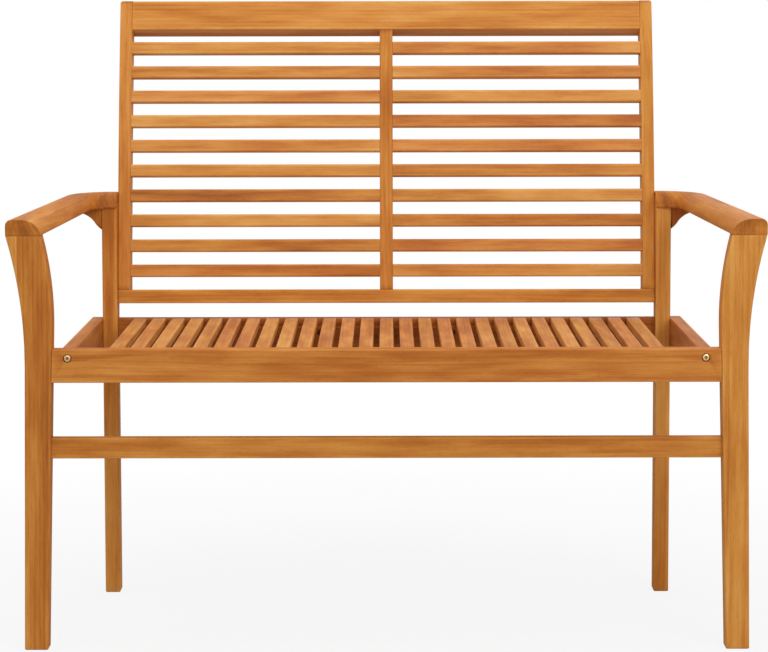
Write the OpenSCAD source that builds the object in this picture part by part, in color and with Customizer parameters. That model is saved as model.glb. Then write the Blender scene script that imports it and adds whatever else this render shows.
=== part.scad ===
// Two-seat slatted garden bench in solid teak. Nothing on it moves: every joint is fixed.
// Depths are measured back from the plane of the front legs' front faces, and centred() then puts
// the origin on the ground in the middle of the footprint. Left and right are as seen from the
// front, so the right side is +X, the back is +Y and up is +Z.

/* [Overall] */
// Distance between the outer edges of the front legs at knee height
knee_span = 1060; // [960:1:1160]
// Distance from the front faces of the front legs to those of the rear legs
leg_setback = 433; // [400:1:480]
// Height of the top of the seat above the ground
seat_height = 446.5; // [425:0.5:465]
// Height of the armrest's underside at its front end
arm_height = 613; // [595:1:640]

/* [Front legs] */
// Width of a front leg at knee height
front_leg_width = 39.6; // [34:0.2:48]
// Thickness of a front leg from front to back
front_leg_depth = 34; // [30:1:46]
// Height at which the outer edge starts to curve outwards
outer_knee_height = 420; // [400:1:440]
// Height at which the inner edge starts to curve outwards
inner_knee_height = 475; // [460:1:490]
// Radius of the outer edge's curve
outer_curve = 671; // [600:1:900]
// Radius of the inner edge's curve
inner_curve = 510; // [460:1:700]
// Lean of the outer edge out towards the foot, in degrees
outer_splay = 0.71; // [0:0.01:1.5]
// Lean of the inner edge out towards the foot, in degrees
inner_splay = 1.38; // [0:0.01:2]

/* [Rear legs] */
// Width of a rear leg
rear_leg_width = 24; // [22:1:34]
// Thickness of a rear leg from front to back
rear_leg_depth = 38; // [34:1:50]
// Rounding of the long edges of the rear legs
rear_leg_round = 2.5; // [1:0.5:5]

/* [Armrests] */
// Thickness of an armrest
arm_thickness = 24; // [20:1:32]
// Width of an armrest behind its front end
arm_rear_width = 43; // [40:1:50]
// Rise of the armrests towards the back, in degrees
arm_slope = 1.67; // [0:0.01:3]
// Radius of the bend at the back, along the middle of the armrest
arm_bend = 55; // [45:1:70]
// Straight end of an armrest past the bend
arm_end = 4.7; // [0:0.1:8]
// Rounding of the armrest's outer top edge
arm_outer_round = 9; // [5:0.5:12]
// How far the domed inner edge reaches across the armrest
arm_dome_reach = 29; // [20:1:30]
// How far the domed inner edge falls
arm_dome_drop = 22; // [14:1:22]
// Least width of the flat along the armrest's top, and of the upright edge on its inner side
arm_land = 2; // [1:0.5:4]
// Distance that a bracket under the armrest stands out from the rear leg
bracket_reach = 33; // [28:1:40]
// Distance that a bracket comes down below the armrest
bracket_drop = 35; // [30:1:45]
// Thickness of a bracket
bracket_thickness = 14; // [10:1:14]

/* [Seat] */
// Height of the four seat rails
rail_height = 49; // [44:1:60]
// Thickness of the front rail
front_rail_thickness = 28; // [24:1:32]
// Thickness of the two side rails
side_rail_thickness = 20; // [18:1:26]
// Thickness of the rear rail
rear_rail_thickness = 20; // [18:1:24]
// Distance from the backs of the rear legs to the back of the rear rail
rear_rail_inset = 5; // [4:1:8]
// Clear space between a front leg and the side rail beside it
side_rail_clear = 12.3; // [6:0.1:20]
// Rounding of the rails' long edges
rail_round = 3; // [1:0.5:5]
// Number of seat slats
seat_slats = 27; // [15:1:27]
// Width of a seat slat
seat_slat_width = 21; // [16:0.5:24]
// Thickness of a seat slat
seat_slat_thickness = 12.5; // [10:0.5:16]
// Rounding of the seat slats' long edges
seat_slat_round = 2; // [0.5:0.5:4]
// Space between a rear leg's inner face and the first seat slat
seat_end_space = 25; // [14:1:40]
// Side of the square cleats that carry the slats
cleat = 18; // [14:1:22]
// Distance that the cleats run past the outermost slats
cleat_overhang = 3.5; // [0:0.5:10]
// Width of the bearer under the middle of the seat
bearer_width = 24; // [18:1:34]
// Height of the bearer
bearer_height = 34; // [30:1:35]
// Height of the underside of the stretcher between the front legs
stretcher_height = 284.5; // [120:0.5:330]
// Width of the stretcher, upright
stretcher_width = 30.6; // [24:0.2:45]
// Thickness of the stretcher
stretcher_thickness = 20; // [14:1:24]
// Distance from the legs' front faces back to the stretcher
stretcher_setback = 8; // [2:1:10]

/* [Back] */
// Radius of the curve that the front of the back follows
back_curve = 2137; // [1600:1:4000]
// Lean of the back at its lower end, in degrees
back_lean = 5.05; // [2:0.05:9]
// Height of the back's lower edge above the seat
back_rise = 25; // [10:0.1:40]
// Distance from the rear legs' front faces to the lower front edge of the back
back_inset = 6.8; // [2:0.1:10]
// Thickness of the back's frame
back_depth = 40; // [30:1:45]
// Width of a stile
stile_width = 20; // [18:1:28]
// Rounding of the stiles' outer top corners
stile_round = 4; // [1:0.5:10]
// Height of the bottom rail
bottom_rail_height = 22; // [20:1:34]
// Height of the top rail
top_rail_height = 48.5; // [34:0.1:70]
// Rounding of the long edges of the back's two rails
back_rail_round = 2; // [1:0.5:4]
// Width of the upright in the middle of the back
muntin_width = 21; // [18:1:30]
// Number of rows of slats in the back
back_rows = 10; // [6:1:10]
// Height of a back slat
back_slat_height = 20.2; // [14:0.1:22]
// Thickness of a back slat
back_slat_thickness = 14; // [12:0.5:18]
// Rounding of the back slats' long edges
back_slat_round = 2.5; // [1:0.5:5]
// Open space between two rows of slats
back_gap = 20.4; // [16:0.1:26]

/* [Joints] */
// Play around a tenon and at its end
play = 0.2; // [0.1:0.05:0.4]
// Play between the back's frame and the rear legs, and at the ends of the seat slats
frame_play = 0.3; // [0.1:0.05:0.5]
// Length of the tenons of the front rail and the stretcher
long_tenon = 24; // [14:1:26]
// Height of the tenons that carry the armrests
arm_tenon = 12; // [8:1:12]
// Length of the tenons of the back's top rail, stiles and middle upright
rail_tenon = 10; // [8:1:12]
// Length of the back slats' tenons in the stiles
slat_tenon = 9; // [6:1:12]
// Length of the back slats' tenons in the middle upright
muntin_tenon = 7; // [5:1:8]
// Depth of the housing that holds an end of the rear rail
housing = 6; // [4:1:10]

/* [Fasteners] */
// Diameter of the bolts
bolt_size = 6; // [5:1:6]
// Diameter of a bolt's head
bolt_head = 10; // [9:0.5:11]
// Height of a bolt's head
bolt_head_height = 6; // [4:0.5:6]
// Diameter of the recess around a bolt's head
bolt_recess = 12.6; // [12:0.1:13]
// Depth of the recess around a bolt's head
bolt_recess_depth = 7; // [6:0.5:8]
// Height from the seat's top down to the two bolts in the front rail
front_bolt_drop = 13; // [11:0.5:16]
// Least distance from an armrest down to the bolts that hold the back
back_bolt_clear = 30; // [20:1:45]
// Distance from a rail's end to the nut in it
nut_distance = 30; // [24:1:40]
// Diameter of a barrel nut
nut_size = 10; // [9:0.5:12]
// Length of a barrel nut
nut_length = 10; // [9:0.5:12]
// Diameter of the wood screws
screw_size = 4; // [3:0.5:5]
// Length of the wood screws through the cleats
screw_length = 26; // [22:1:28]

/* [Hidden] */
$fn = 64;
TEAK = [0.76, 0.45, 0.21];
PALE_TEAK = [0.83, 0.58, 0.38];
DEEP_TEAK = [0.66, 0.36, 0.16];
ZINC = [0.86, 0.80, 0.64];
CURVE_FN = 720;
PAST = 1;
TALL = 2000;

// Front legs
knee_x = knee_span / 2;
inner_knee_x = knee_x - front_leg_width + (outer_knee_height - inner_knee_height) * tan(inner_splay);
outer_centre = [knee_x + outer_curve * cos(outer_splay), outer_knee_height + outer_curve * sin(outer_splay)];
inner_centre = [inner_knee_x + inner_curve * cos(inner_splay),
                inner_knee_height + inner_curve * sin(inner_splay)];

function bowed(centre, radius, z) = centre.x - sqrt(pow(radius, 2) - pow(z - centre.y, 2));
function outer_edge(z) = z < outer_knee_height
    ? knee_x + (outer_knee_height - z) * tan(outer_splay) : bowed(outer_centre, outer_curve, z);
function inner_edge(z) = z < inner_knee_height
    ? inner_knee_x + (inner_knee_height - z) * tan(inner_splay) : bowed(inner_centre, inner_curve, z);

// Places across the bench, all measured from the front legs inwards
rail_bottom = seat_height - rail_height;
side_rail_outer = inner_edge(seat_height) - side_rail_clear;
side_rail_middle = side_rail_outer - side_rail_thickness / 2;
rear_outer = side_rail_outer - side_rail_thickness;
rear_inner = rear_outer - rear_leg_width;
frame_outer = rear_inner - frame_play;
stile_inner = frame_outer - stile_width;

// Places from front to back
rear_back = leg_setback + rear_leg_depth;
rear_middle = leg_setback + rear_leg_depth / 2;
rear_rail_back = rear_back - rear_rail_inset;
rear_rail_front = rear_rail_back - rear_rail_thickness;
rear_rail_middle = rear_rail_back - rear_rail_thickness / 2;

// Seat
slat_field = 2 * (rear_inner - seat_end_space);
seat_pitch = (slat_field - seat_slat_width) / (seat_slats - 1);
slat_bottom = seat_height - seat_slat_thickness;
cleat_bottom = slat_bottom - cleat;
bearer_bottom = slat_bottom - bearer_height;
cleat_screws = 4;
cleat_screw_places = [for (k = [1 : cleat_screws])
    slat_x(round(seat_slats * (k - 0.5) / cleat_screws)) + seat_pitch / 2];

// Armrests: the straight part is a line from the top of the front leg, tangent to the bend
arm_front_x = (outer_edge(arm_height) + inner_edge(arm_height)) / 2;
arm_front_width = outer_edge(arm_height) - inner_edge(arm_height);
dome_reach = min(arm_dome_reach, arm_rear_width - arm_outer_round - arm_land);
dome_drop = min(arm_dome_drop, arm_thickness - arm_land);
bend_centre = [rear_inner + arm_end, rear_back - arm_rear_width / 2 - arm_bend];
bend_run = norm([arm_front_x - bend_centre.x, bend_centre.y]);
arm_toe = atan2(arm_front_x - bend_centre.x, bend_centre.y) - asin(arm_bend / bend_run);
bend_start = bend_centre + arm_bend * [cos(arm_toe), sin(arm_toe)];
straight_steps = 5;
bend_steps = 14;
round_steps = 5;
dome_steps = 9;

// Back: its front lies on an arc, and places on it are given by the length along that arc
back_bottom = seat_height + back_rise;
back_front = leg_setback + back_inset;
back_centre = [back_front + back_curve * cos(back_lean), back_bottom - back_curve * sin(back_lean)];
row_pitch = back_slat_height + back_gap;
back_length = bottom_rail_height + back_rows * row_pitch + back_gap + top_rail_height;
top_rail_place = back_length - top_rail_height / 2;
tenon_share = 0.5;

function lean_at(s) = back_lean + s / back_curve * 180 / PI;
function back_point(s, y, z = 0) = back_centre + (back_curve - y) * [-cos(lean_at(s)), sin(lean_at(s))]
    + z * [sin(lean_at(s)), cos(lean_at(s))];
function row_place(row) = bottom_rail_height + row * row_pitch - back_slat_height / 2;
function gap_place(gap) = bottom_rail_height + gap * row_pitch + back_gap / 2;

// The bolts that hold the back lie in gaps between its slats, half way into the depth that stile and
// leg share: one in the lowest gap and one in the highest gap that is clear of the armrest
bolt_limit = (arm_height + leg_setback * tan(arm_slope) - back_bolt_clear - back_bottom) / cos(back_lean);
top_bolt_gap = floor((bolt_limit - gap_place(0)) / row_pitch);
back_bolt_gaps = top_bolt_gap > 0 ? [0, top_bolt_gap] : [0];
function shared_middle(s) = (rear_back - back_point(s, 0).x) / 2 / cos(lean_at(s));

// The rearmost point is the back edge of the stiles' tops, which are flush with the top rail
top_edge_radius = sqrt(pow(back_curve - back_depth, 2) - pow(top_rail_height / 2, 2));
footprint_depth = back_centre.x - top_edge_radius * cos(lean_at(top_rail_place))
    + top_rail_height / 2 * sin(lean_at(top_rail_place));

function two_digits(n) = n < 10 ? str("0", n) : str(n);
SLAT_NODES = [for (i = [1 : seat_slats]) str("seat_slat_", two_digits(i))];
ROW_NODES = [for (i = [1 : back_rows]) str("back_slat_row_", two_digits(i))];

// Puts the origin in the middle of the footprint
module centred() { translate([0, -footprint_depth / 2, 0]) children(); }

// Draws the shape as given on the right, and its mirror image on the left
module right_side() { centred() children(); }
module left_side() { centred() mirror([1, 0, 0]) children(); }
module both_sides() { children(); mirror([1, 0, 0]) children(); }

// A rectangle from the origin with rounded corners
module rounded_rectangle(size, r) {
    translate([r, 0]) square([size.x - 2 * r, size.y]);
    translate([0, r]) square([size.x, size.y - 2 * r]);
    for (x = [r, size.x - r], y = [r, size.y - r]) translate([x, y]) circle(r);
}

// Bars with rounded long edges, lying along X, along Y and upright
module bar_x(size, r) {
    rotate([90, 0, 90]) linear_extrude(size.x) rounded_rectangle([size.y, size.z], r);
}
module bar_y(size, r) {
    translate([0, size.y, 0]) rotate([90, 0, 0]) linear_extrude(size.y)
        rounded_rectangle([size.x, size.z], r);
}
module bar_z(size, r) { linear_extrude(size.z) rounded_rectangle([size.x, size.y], r); }

// Extrudes an outline drawn in X and Z back from the given depth
module upright(depth, thickness) {
    translate([0, depth + thickness, 0]) rotate([90, 0, 0]) linear_extrude(thickness) children();
}

// A box centred on all three axes, and the same box with play all round it
module block(size) { cube(size, center = true); }
module mortise(size) { block(size + 2 * play * [1, 1, 1]); }

// A tenon, or the mortise for it, at the given place
module tenon_box(place, size, is_hole) {
    translate(place) if (is_hole) mortise(size); else block(size);
}

// Everything above the plane of the armrests' underside
module above_arm_underside() {
    translate([0, 0, arm_height]) rotate([arm_slope, 0, 0])
        translate([-TALL / 2, -TALL / 2, 0]) cube([TALL, TALL, TALL / 2]);
}

// A cylinder from one place to another along an axis of the bench
module drill(from, direction, length, d) {
    tilt = direction.z != 0 ? [direction.z > 0 ? 0 : 180, 0, 0]
        : direction.y != 0 ? [direction.y > 0 ? -90 : 90, 0, 0] : [0, direction.x > 0 ? 90 : -90, 0];
    translate(from) rotate(tilt) cylinder(d = d, h = length);
}

// The hole for a bolt: a recess for its head at the given place, and a bore onwards
module bolt_hole(from, direction, length) {
    drill(from - PAST * direction, direction, bolt_recess_depth + PAST, bolt_recess);
    drill(from, direction, length + 2 * play, bolt_size + 2 * play);
}

// A bolt whose head stands at the bottom of its recess. Its length includes the recess
module bolt(from, direction, length) {
    head_from = from + (bolt_recess_depth - bolt_head_height) * direction;
    difference() {
        union() {
            drill(head_from, direction, bolt_head_height, bolt_head);
            drill(head_from, direction, length - (bolt_recess_depth - bolt_head_height), bolt_size);
        }
        drill(head_from - PAST * direction, direction, PAST + bolt_head_height * 0.6,
              bolt_size * 0.8, $fn = 6);
    }
}

// A barrel nut across a bolt, and the hole that lets it in from the side it came from
module barrel_nut(place, along, bolt_direction) {
    difference() {
        drill(place - nut_length / 2 * along, along, nut_length, nut_size);
        drill(place - nut_size * bolt_direction, bolt_direction, 2 * nut_size, bolt_size + play);
    }
}
module nut_hole(place, along, depth) {
    drill(place - (nut_length / 2 + play) * along, along, nut_length / 2 + play + depth + PAST,
          nut_size + 2 * play);
}

// Places of the three kinds of bolt on the right side, each as [start, direction, length]
front_bolt = [[side_rail_middle, 0, seat_height - front_bolt_drop], [0, 1, 0],
              front_rail_thickness + nut_distance + nut_size];
corner_bolt = [[side_rail_outer, rear_rail_middle, seat_height - rail_height / 2], [-1, 0, 0],
               side_rail_thickness + rear_leg_width + nut_distance + nut_size];
function back_bolt(gap) = let (s = gap_place(gap), place = back_point(s, shared_middle(s)))
    [[rear_outer, place.x, place.y], [-1, 0, 0], rear_leg_width + frame_play + stile_width * 0.8];
front_nut = front_bolt[0] + (front_rail_thickness + nut_distance) * front_bolt[1];
corner_nut = [rear_inner - nut_distance, corner_bolt[0].y, corner_bolt[0].z];
function back_nut(gap) = [frame_outer - stile_width / 2, back_bolt(gap)[0].y, back_bolt(gap)[0].z];

module bolt_holes() {
    bolt_hole(front_bolt[0], front_bolt[1], front_bolt[2]);
    bolt_hole(corner_bolt[0], corner_bolt[1], corner_bolt[2]);
    for (gap = back_bolt_gaps) bolt_hole(back_bolt(gap)[0], back_bolt(gap)[1], back_bolt(gap)[2]);
}

// The outline outwards of a front leg's inner edge, and the one outwards of its outer edge
module outwards_of(edge_foot, edge_knee, knee_height, centre, radius) {
    reach = 3 * front_leg_width;
    polygon([[edge_foot, 0], [edge_foot + reach, 0], [edge_knee + reach, knee_height],
             [edge_knee, knee_height]]);
    intersection() {
        translate(centre) circle(radius, $fn = CURVE_FN);
        translate([edge_knee - front_leg_width, knee_height])
            square([reach + front_leg_width, arm_height]);
    }
}
module outwards_of_inner_edge() {
    outwards_of(inner_edge(0), inner_knee_x, inner_knee_height, inner_centre, inner_curve);
}
module outwards_of_outer_edge() {
    outwards_of(outer_edge(0), knee_x, outer_knee_height, outer_centre, outer_curve);
}

// Tenons on the right ends of the front rail and the stretcher, and their mortises
module front_rail_tenon(is_hole) {
    start = inner_edge(seat_height) - PAST;
    tenon_box([start + (long_tenon + PAST) / 2, front_rail_thickness / 2, seat_height - rail_height / 2],
              [long_tenon + PAST, front_rail_thickness * 0.43, rail_height * 0.63], is_hole);
}
module stretcher_tenon(is_hole) {
    middle = stretcher_height + stretcher_width / 2;
    start = inner_edge(middle) - PAST;
    tenon_box([start + (long_tenon + PAST) / 2, stretcher_setback + stretcher_thickness / 2, middle],
              [long_tenon + PAST, stretcher_thickness * tenon_share, stretcher_width * 0.65], is_hole);
}

// Tenons on the tops of the right legs, and their mortises in the armrest
module front_arm_tenon(is_hole) {
    tenon_box([arm_front_x, front_leg_depth / 2, arm_height + (arm_tenon - PAST) / 2],
              [arm_front_width * 0.55, front_leg_depth * tenon_share, arm_tenon + PAST], is_hole);
}
module rear_arm_tenon(is_hole) {
    rise = rear_middle * tan(arm_slope);
    tenon_box([rear_outer - rear_leg_width / 2, rear_middle, arm_height + rise + (arm_tenon - PAST) / 2],
              [rear_leg_width * tenon_share, rear_leg_depth * tenon_share, arm_tenon + PAST], is_hole);
}

module front_leg() {
    difference() {
        upright(0, front_leg_depth) difference() {
            intersection() {
                outwards_of_inner_edge();
                square([TALL, arm_height + PAST]);
            }
            outwards_of_outer_edge();
        }
        above_arm_underside();
        front_rail_tenon(true);
        stretcher_tenon(true);
    }
    front_arm_tenon(false);
}
module front_leg_right() { color(TEAK) right_side() front_leg(); }
module front_leg_left() { color(TEAK) left_side() front_leg(); }

module rear_leg() {
    difference() {
        translate([rear_inner, leg_setback, 0])
            bar_z([rear_leg_width, rear_leg_depth, TALL / 2], rear_leg_round);
        above_arm_underside();
        rear_rail_bar(housing + play, play);
        bolt_holes();
    }
    rear_arm_tenon(false);
}
module rear_leg_right() { color(TEAK) right_side() rear_leg(); }
module rear_leg_left() { color(TEAK) left_side() rear_leg(); }

// One cross-section of the armrest as points [across, up], where outwards is positive across
function arm_section(w) = concat(
    [[-w / 2, 0], [w / 2, 0]],
    [for (i = [0 : round_steps]) let (a = 90 * i / round_steps)
        [w / 2 - arm_outer_round * (1 - cos(a)), arm_thickness - arm_outer_round * (1 - sin(a))]],
    [for (i = [0 : dome_steps]) let (a = 90 + 90 * i / dome_steps)
        [-w / 2 + dome_reach * (1 + cos(a)), arm_thickness - dome_drop * (1 - sin(a))]]);

// Stations along the armrest as [x, depth, direction across, width]
arm_stations = concat(
    [for (i = [0 : straight_steps]) let (f = i / straight_steps)
        [arm_front_x + f * (bend_start.x - arm_front_x), f * bend_start.y, f * arm_toe,
         arm_front_width + f * (arm_rear_width - arm_front_width)]],
    [for (i = [1 : bend_steps]) let (a = arm_toe + (90 - arm_toe) * i / bend_steps)
        [bend_centre.x + arm_bend * cos(a), bend_centre.y + arm_bend * sin(a), a, arm_rear_width]],
    [[rear_inner, bend_centre.y + arm_bend, 90, arm_rear_width]]);

function arm_place(station, point) = let (depth = station[1] + point.x * sin(station[2]))
    [station[0] + point.x * cos(station[2]), depth, arm_height + depth * tan(arm_slope) + point.y];

// The armrest is a loft: the section is carried along the stations, narrowing and turning
module armrest_solid() {
    n = len(arm_section(arm_rear_width));
    last = len(arm_stations) - 1;
    points = [for (station = arm_stations, point = arm_section(station[3])) arm_place(station, point)];
    sides = [for (k = [0 : last - 1], i = [0 : n - 1]) let (j = (i + 1) % n)
        each [[k * n + i, k * n + j, (k + 1) * n + j], [k * n + i, (k + 1) * n + j, (k + 1) * n + i]]];
    front = [[for (i = [n - 1 : -1 : 0]) i]];
    end = [[for (i = [0 : n - 1]) last * n + i]];
    polyhedron(points, concat(sides, front, end), convexity = 6);
}
module armrest() {
    difference() {
        armrest_solid();
        front_arm_tenon(true);
        rear_arm_tenon(true);
    }
}
module armrest_right() { color(TEAK) right_side() armrest(); }
module armrest_left() { color(TEAK) left_side() armrest(); }

// The centre of the circle through two points, on the left of the way from the first to the second
function arc_centre(p, q, r) = let (half = norm(q - p) / 2, way = (q - p) / (2 * half))
    (p + q) / 2 + sqrt(r * r - half * half) * [-way.y, way.x];

// An ogee: a round lobe near the leg, then a hollow that runs out under the armrest
module bracket_outline() {
    turn = [bracket_reach * 0.37, bracket_drop * 0.37];
    tip = [bracket_reach, bracket_drop * 0.76];
    lobe = bracket_reach * 1.2;
    intersection() {
        translate(arc_centre([0, 0], turn, lobe)) circle(lobe, $fn = CURVE_FN);
        square(turn);
    }
    difference() {
        translate([turn.x, turn.y]) square(tip - turn);
        translate(arc_centre(tip, turn, lobe)) circle(lobe, $fn = CURVE_FN);
    }
    translate([0, turn.y]) square([turn.x, bracket_drop + arm_thickness - turn.y]);
    translate([turn.x, tip.y]) square([tip.x - turn.x, bracket_drop + arm_thickness - tip.y]);
}
module arm_bracket() {
    setback = leg_setback + rear_leg_round;
    rise = (setback + bracket_thickness / 2) * tan(arm_slope);
    difference() {
        translate([rear_outer, 0, arm_height + rise - bracket_drop])
            upright(setback, bracket_thickness) bracket_outline();
        above_arm_underside();
    }
}
module arm_bracket_right() { color(DEEP_TEAK) right_side() arm_bracket(); }
module arm_bracket_left() { color(DEEP_TEAK) left_side() arm_bracket(); }

// A rail or stretcher between the front legs, whose ends follow the legs' inner edges
module between_front_legs(place, size, r) {
    difference() {
        translate([-size.x / 2, place.x, place.y]) bar_x(size, r);
        both_sides() upright(-PAST, front_leg_depth + 2 * PAST) outwards_of_inner_edge();
    }
}
module front_rail() {
    color(TEAK) centred() {
        difference() {
            between_front_legs([0, rail_bottom], [knee_span, front_rail_thickness, rail_height], rail_round);
            both_sides() bolt_holes();
            holes_for_seat(front_rail_thickness, -1);
        }
        both_sides() front_rail_tenon(false);
    }
}
module front_stretcher() {
    color(TEAK) centred() {
        between_front_legs([stretcher_setback, stretcher_height],
                           [knee_span, stretcher_thickness, stretcher_width], rail_round);
        both_sides() stretcher_tenon(false);
    }
}

// Side rails: the front end meets the front rail, the rear end is flush with the rear leg's back
module seat_side_rail() {
    difference() {
        translate([rear_outer, front_rail_thickness, rail_bottom])
            bar_y([side_rail_thickness, rear_back - front_rail_thickness, rail_height], rail_round);
        bolt_holes();
        nut_hole(front_nut, [-1, 0, 0], side_rail_thickness / 2);
    }
}
module seat_side_rail_right() { color(TEAK) right_side() seat_side_rail(); }
module seat_side_rail_left() { color(TEAK) left_side() seat_side_rail(); }

// The rear rail's bar, which runs past the rear legs' inner faces by the given length
module rear_rail_bar(past, clear) {
    half = rear_inner + past;
    translate([-half, rear_rail_front - clear, rail_bottom - clear])
        bar_x([2 * half, rear_rail_thickness + 2 * clear, rail_height + 2 * clear], rail_round);
}
module rear_rail() {
    color(TEAK) centred() difference() {
        rear_rail_bar(housing, 0);
        both_sides() bolt_holes();
        both_sides() nut_hole(corner_nut, [0, 1, 0], rear_rail_thickness / 2);
        holes_for_seat(rear_rail_front, 1);
    }
}

// The mortise for the bearer and the pilot holes for a cleat's screws, in a rail's inner face
module holes_for_seat(depth, way) {
    bearer_tenon(depth, way, true);
    for (x = cleat_screw_places)
        drill([x, depth - way * PAST, slat_bottom - cleat / 2], [0, way, 0],
              screw_length - cleat + PAST + play, screw_size + play);
}
module bearer_tenon(depth, way, is_hole) {
    tenon_box([0, depth + way * (housing - PAST) / 2, (cleat_bottom + bearer_bottom) / 2],
              [bearer_width * tenon_share, housing + PAST, (cleat_bottom - bearer_bottom) * 0.75], is_hole);
}

// One wood screw with a countersunk head, and its hole, from the given place along a direction
module screw(from, direction) {
    drill(from, direction, screw_length, screw_size);
    screw_head(from, direction, 0);
}
module screw_hole(from, direction) {
    drill(from - PAST * direction, direction, screw_length + PAST + play, screw_size + play);
    screw_head(from, direction, play / 2);
}
module screw_head(from, direction, clear) {
    tilt = direction.z > 0 ? [0, 0, 0] : direction.y > 0 ? [-90, 0, 0] : [90, 0, 0];
    translate(from) rotate(tilt) rotate_extrude()
        polygon([[0, 0], [screw_size + clear, 0], [screw_size / 2 + clear, screw_size / 2],
                 [0, screw_size / 2]]);
}

// The two cleats: one on the back of the front rail, one on the front of the rear rail
front_cleat_middle = front_rail_thickness + cleat / 2;
rear_cleat_middle = rear_rail_front - cleat / 2;
function slat_x(i) = -slat_field / 2 + seat_slat_width / 2 + (i - 1) * seat_pitch;

module slat_screw_holes() {
    for (i = [1 : seat_slats], depth = [front_cleat_middle, rear_cleat_middle])
        screw_hole([slat_x(i), depth, cleat_bottom], [0, 0, 1]);
}
module seat_cleats() {
    color(DEEP_TEAK) centred() difference() {
        for (depth = [front_cleat_middle, rear_cleat_middle])
            translate([0, depth, cleat_bottom + cleat / 2])
                block([slat_field + 2 * cleat_overhang, cleat, cleat]);
        slat_screw_holes();
        for (x = cleat_screw_places) {
            screw_hole([x, front_cleat_middle + cleat / 2, slat_bottom - cleat / 2], [0, -1, 0]);
            screw_hole([x, rear_cleat_middle - cleat / 2, slat_bottom - cleat / 2], [0, 1, 0]);
        }
    }
}

// The bearer carries the middle slat, is notched under the cleats and is tenoned in the rails
module centre_bearer() {
    length = rear_rail_front - front_rail_thickness;
    color(DEEP_TEAK) centred() {
        difference() {
            translate([-bearer_width / 2, front_rail_thickness, bearer_bottom])
                cube([bearer_width, length, bearer_height]);
            for (depth = [front_cleat_middle, rear_cleat_middle])
                translate([0, depth, cleat_bottom + cleat / 2]) block([TALL, cleat, cleat]);
        }
        bearer_tenon(front_rail_thickness, -1, false);
        bearer_tenon(rear_rail_front, 1, false);
    }
}

module seat_slat(i) {
    length = rear_rail_front - front_rail_thickness - 2 * frame_play;
    color(PALE_TEAK) centred() difference() {
        translate([slat_x(i) - seat_slat_width / 2, front_rail_thickness + frame_play, slat_bottom])
            bar_y([seat_slat_width, length, seat_slat_thickness], seat_slat_round);
        for (depth = [front_cleat_middle, rear_cleat_middle])
            screw_hole([slat_x(i), depth, cleat_bottom], [0, 0, 1]);
    }
}

// Moves from the back's own frame, where Z runs along the arc and Y into the back, to the bench
module on_back(s) {
    translate([0, back_centre.x, back_centre.y]) rotate([-lean_at(s), 0, 0])
        translate([0, -back_curve, 0]) children();
}

// An upright of the back: a band of the arc, extruded across the bench. It stands on the bottom rail
// and ends square to the top rail, at the given height above that rail's middle
module curved_upright(x, width, end) {
    foot = bottom_rail_height / 2;
    reach = 2 * back_depth;
    translate([x, 0, 0]) rotate([90, 0, 90]) linear_extrude(width) intersection() {
        translate(back_centre) difference() {
            circle(back_curve, $fn = CURVE_FN);
            circle(back_curve - back_depth, $fn = CURVE_FN);
        }
        polygon([back_point(foot, -reach, foot), back_point(foot, back_depth + reach, foot),
                 back_point(top_rail_place, back_depth + reach, end),
                 back_point(top_rail_place, -reach, end)]);
    }
}

// Tenons of a slat row: one pair in the right stile and the middle upright, and its mirror image
module slat_tenons(row, is_hole) {
    size = [PAST, back_slat_thickness * 0.6, back_slat_height * 0.63];
    on_back(row_place(row)) {
        tenon_box([stile_inner + (slat_tenon - PAST) / 2, back_slat_thickness / 2, 0],
                  size + [slat_tenon, 0, 0], is_hole);
        tenon_box([muntin_width / 2 - (muntin_tenon - PAST) / 2, back_slat_thickness / 2, 0],
                  size + [muntin_tenon, 0, 0], is_hole);
    }
}

// Tenon on the lower end of an upright, and on the right end of the top rail
module foot_tenon(x, width, is_hole) {
    on_back(bottom_rail_height / 2)
        tenon_box([x, back_depth / 2, bottom_rail_height / 2 - (rail_tenon - PAST) / 2],
                  [width * tenon_share, back_depth * tenon_share, rail_tenon + PAST], is_hole);
}
module top_rail_tenon(is_hole) {
    on_back(top_rail_place)
        tenon_box([stile_inner + (rail_tenon - PAST) / 2, back_depth / 2, 0],
                  [rail_tenon + PAST, back_depth * 0.4, top_rail_height * 0.6], is_hole);
}
module muntin_top_tenon(is_hole) {
    on_back(top_rail_place)
        tenon_box([0, back_depth / 2, -top_rail_height / 2 + (rail_tenon - PAST) / 2],
                  [muntin_width * tenon_share, back_depth * tenon_share, rail_tenon + PAST], is_hole);
}

// A stile's outline in the top rail's frame, with its outer top corner rounded
module stile_outline() {
    top = top_rail_height / 2;
    translate([stile_inner, -TALL]) {
        square([stile_width - stile_round, TALL + top]);
        square([stile_width, TALL + top - stile_round]);
    }
    translate([frame_outer - stile_round, top - stile_round]) circle(stile_round);
}
module back_stile() {
    difference() {
        intersection() {
            curved_upright(stile_inner - PAST, stile_width + 2 * PAST, top_rail_height / 2 + PAST);
            on_back(top_rail_place) upright(-PAST, back_length) stile_outline();
        }
        for (row = [1 : back_rows]) slat_tenons(row, true);
        top_rail_tenon(true);
        bolt_holes();
        for (gap = back_bolt_gaps) nut_hole(back_nut(gap), [0, 1, 0], back_depth);
    }
    foot_tenon(frame_outer - stile_width / 2, stile_width, false);
}
module back_stile_right() { color(TEAK) right_side() back_stile(); }
module back_stile_left() { color(TEAK) left_side() back_stile(); }

module back_muntin() {
    color(TEAK) centred() {
        difference() {
            curved_upright(-muntin_width / 2, muntin_width, -top_rail_height / 2);
            both_sides() for (row = [1 : back_rows]) slat_tenons(row, true);
        }
        foot_tenon(0, muntin_width, false);
        muntin_top_tenon(false);
    }
}

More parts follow.
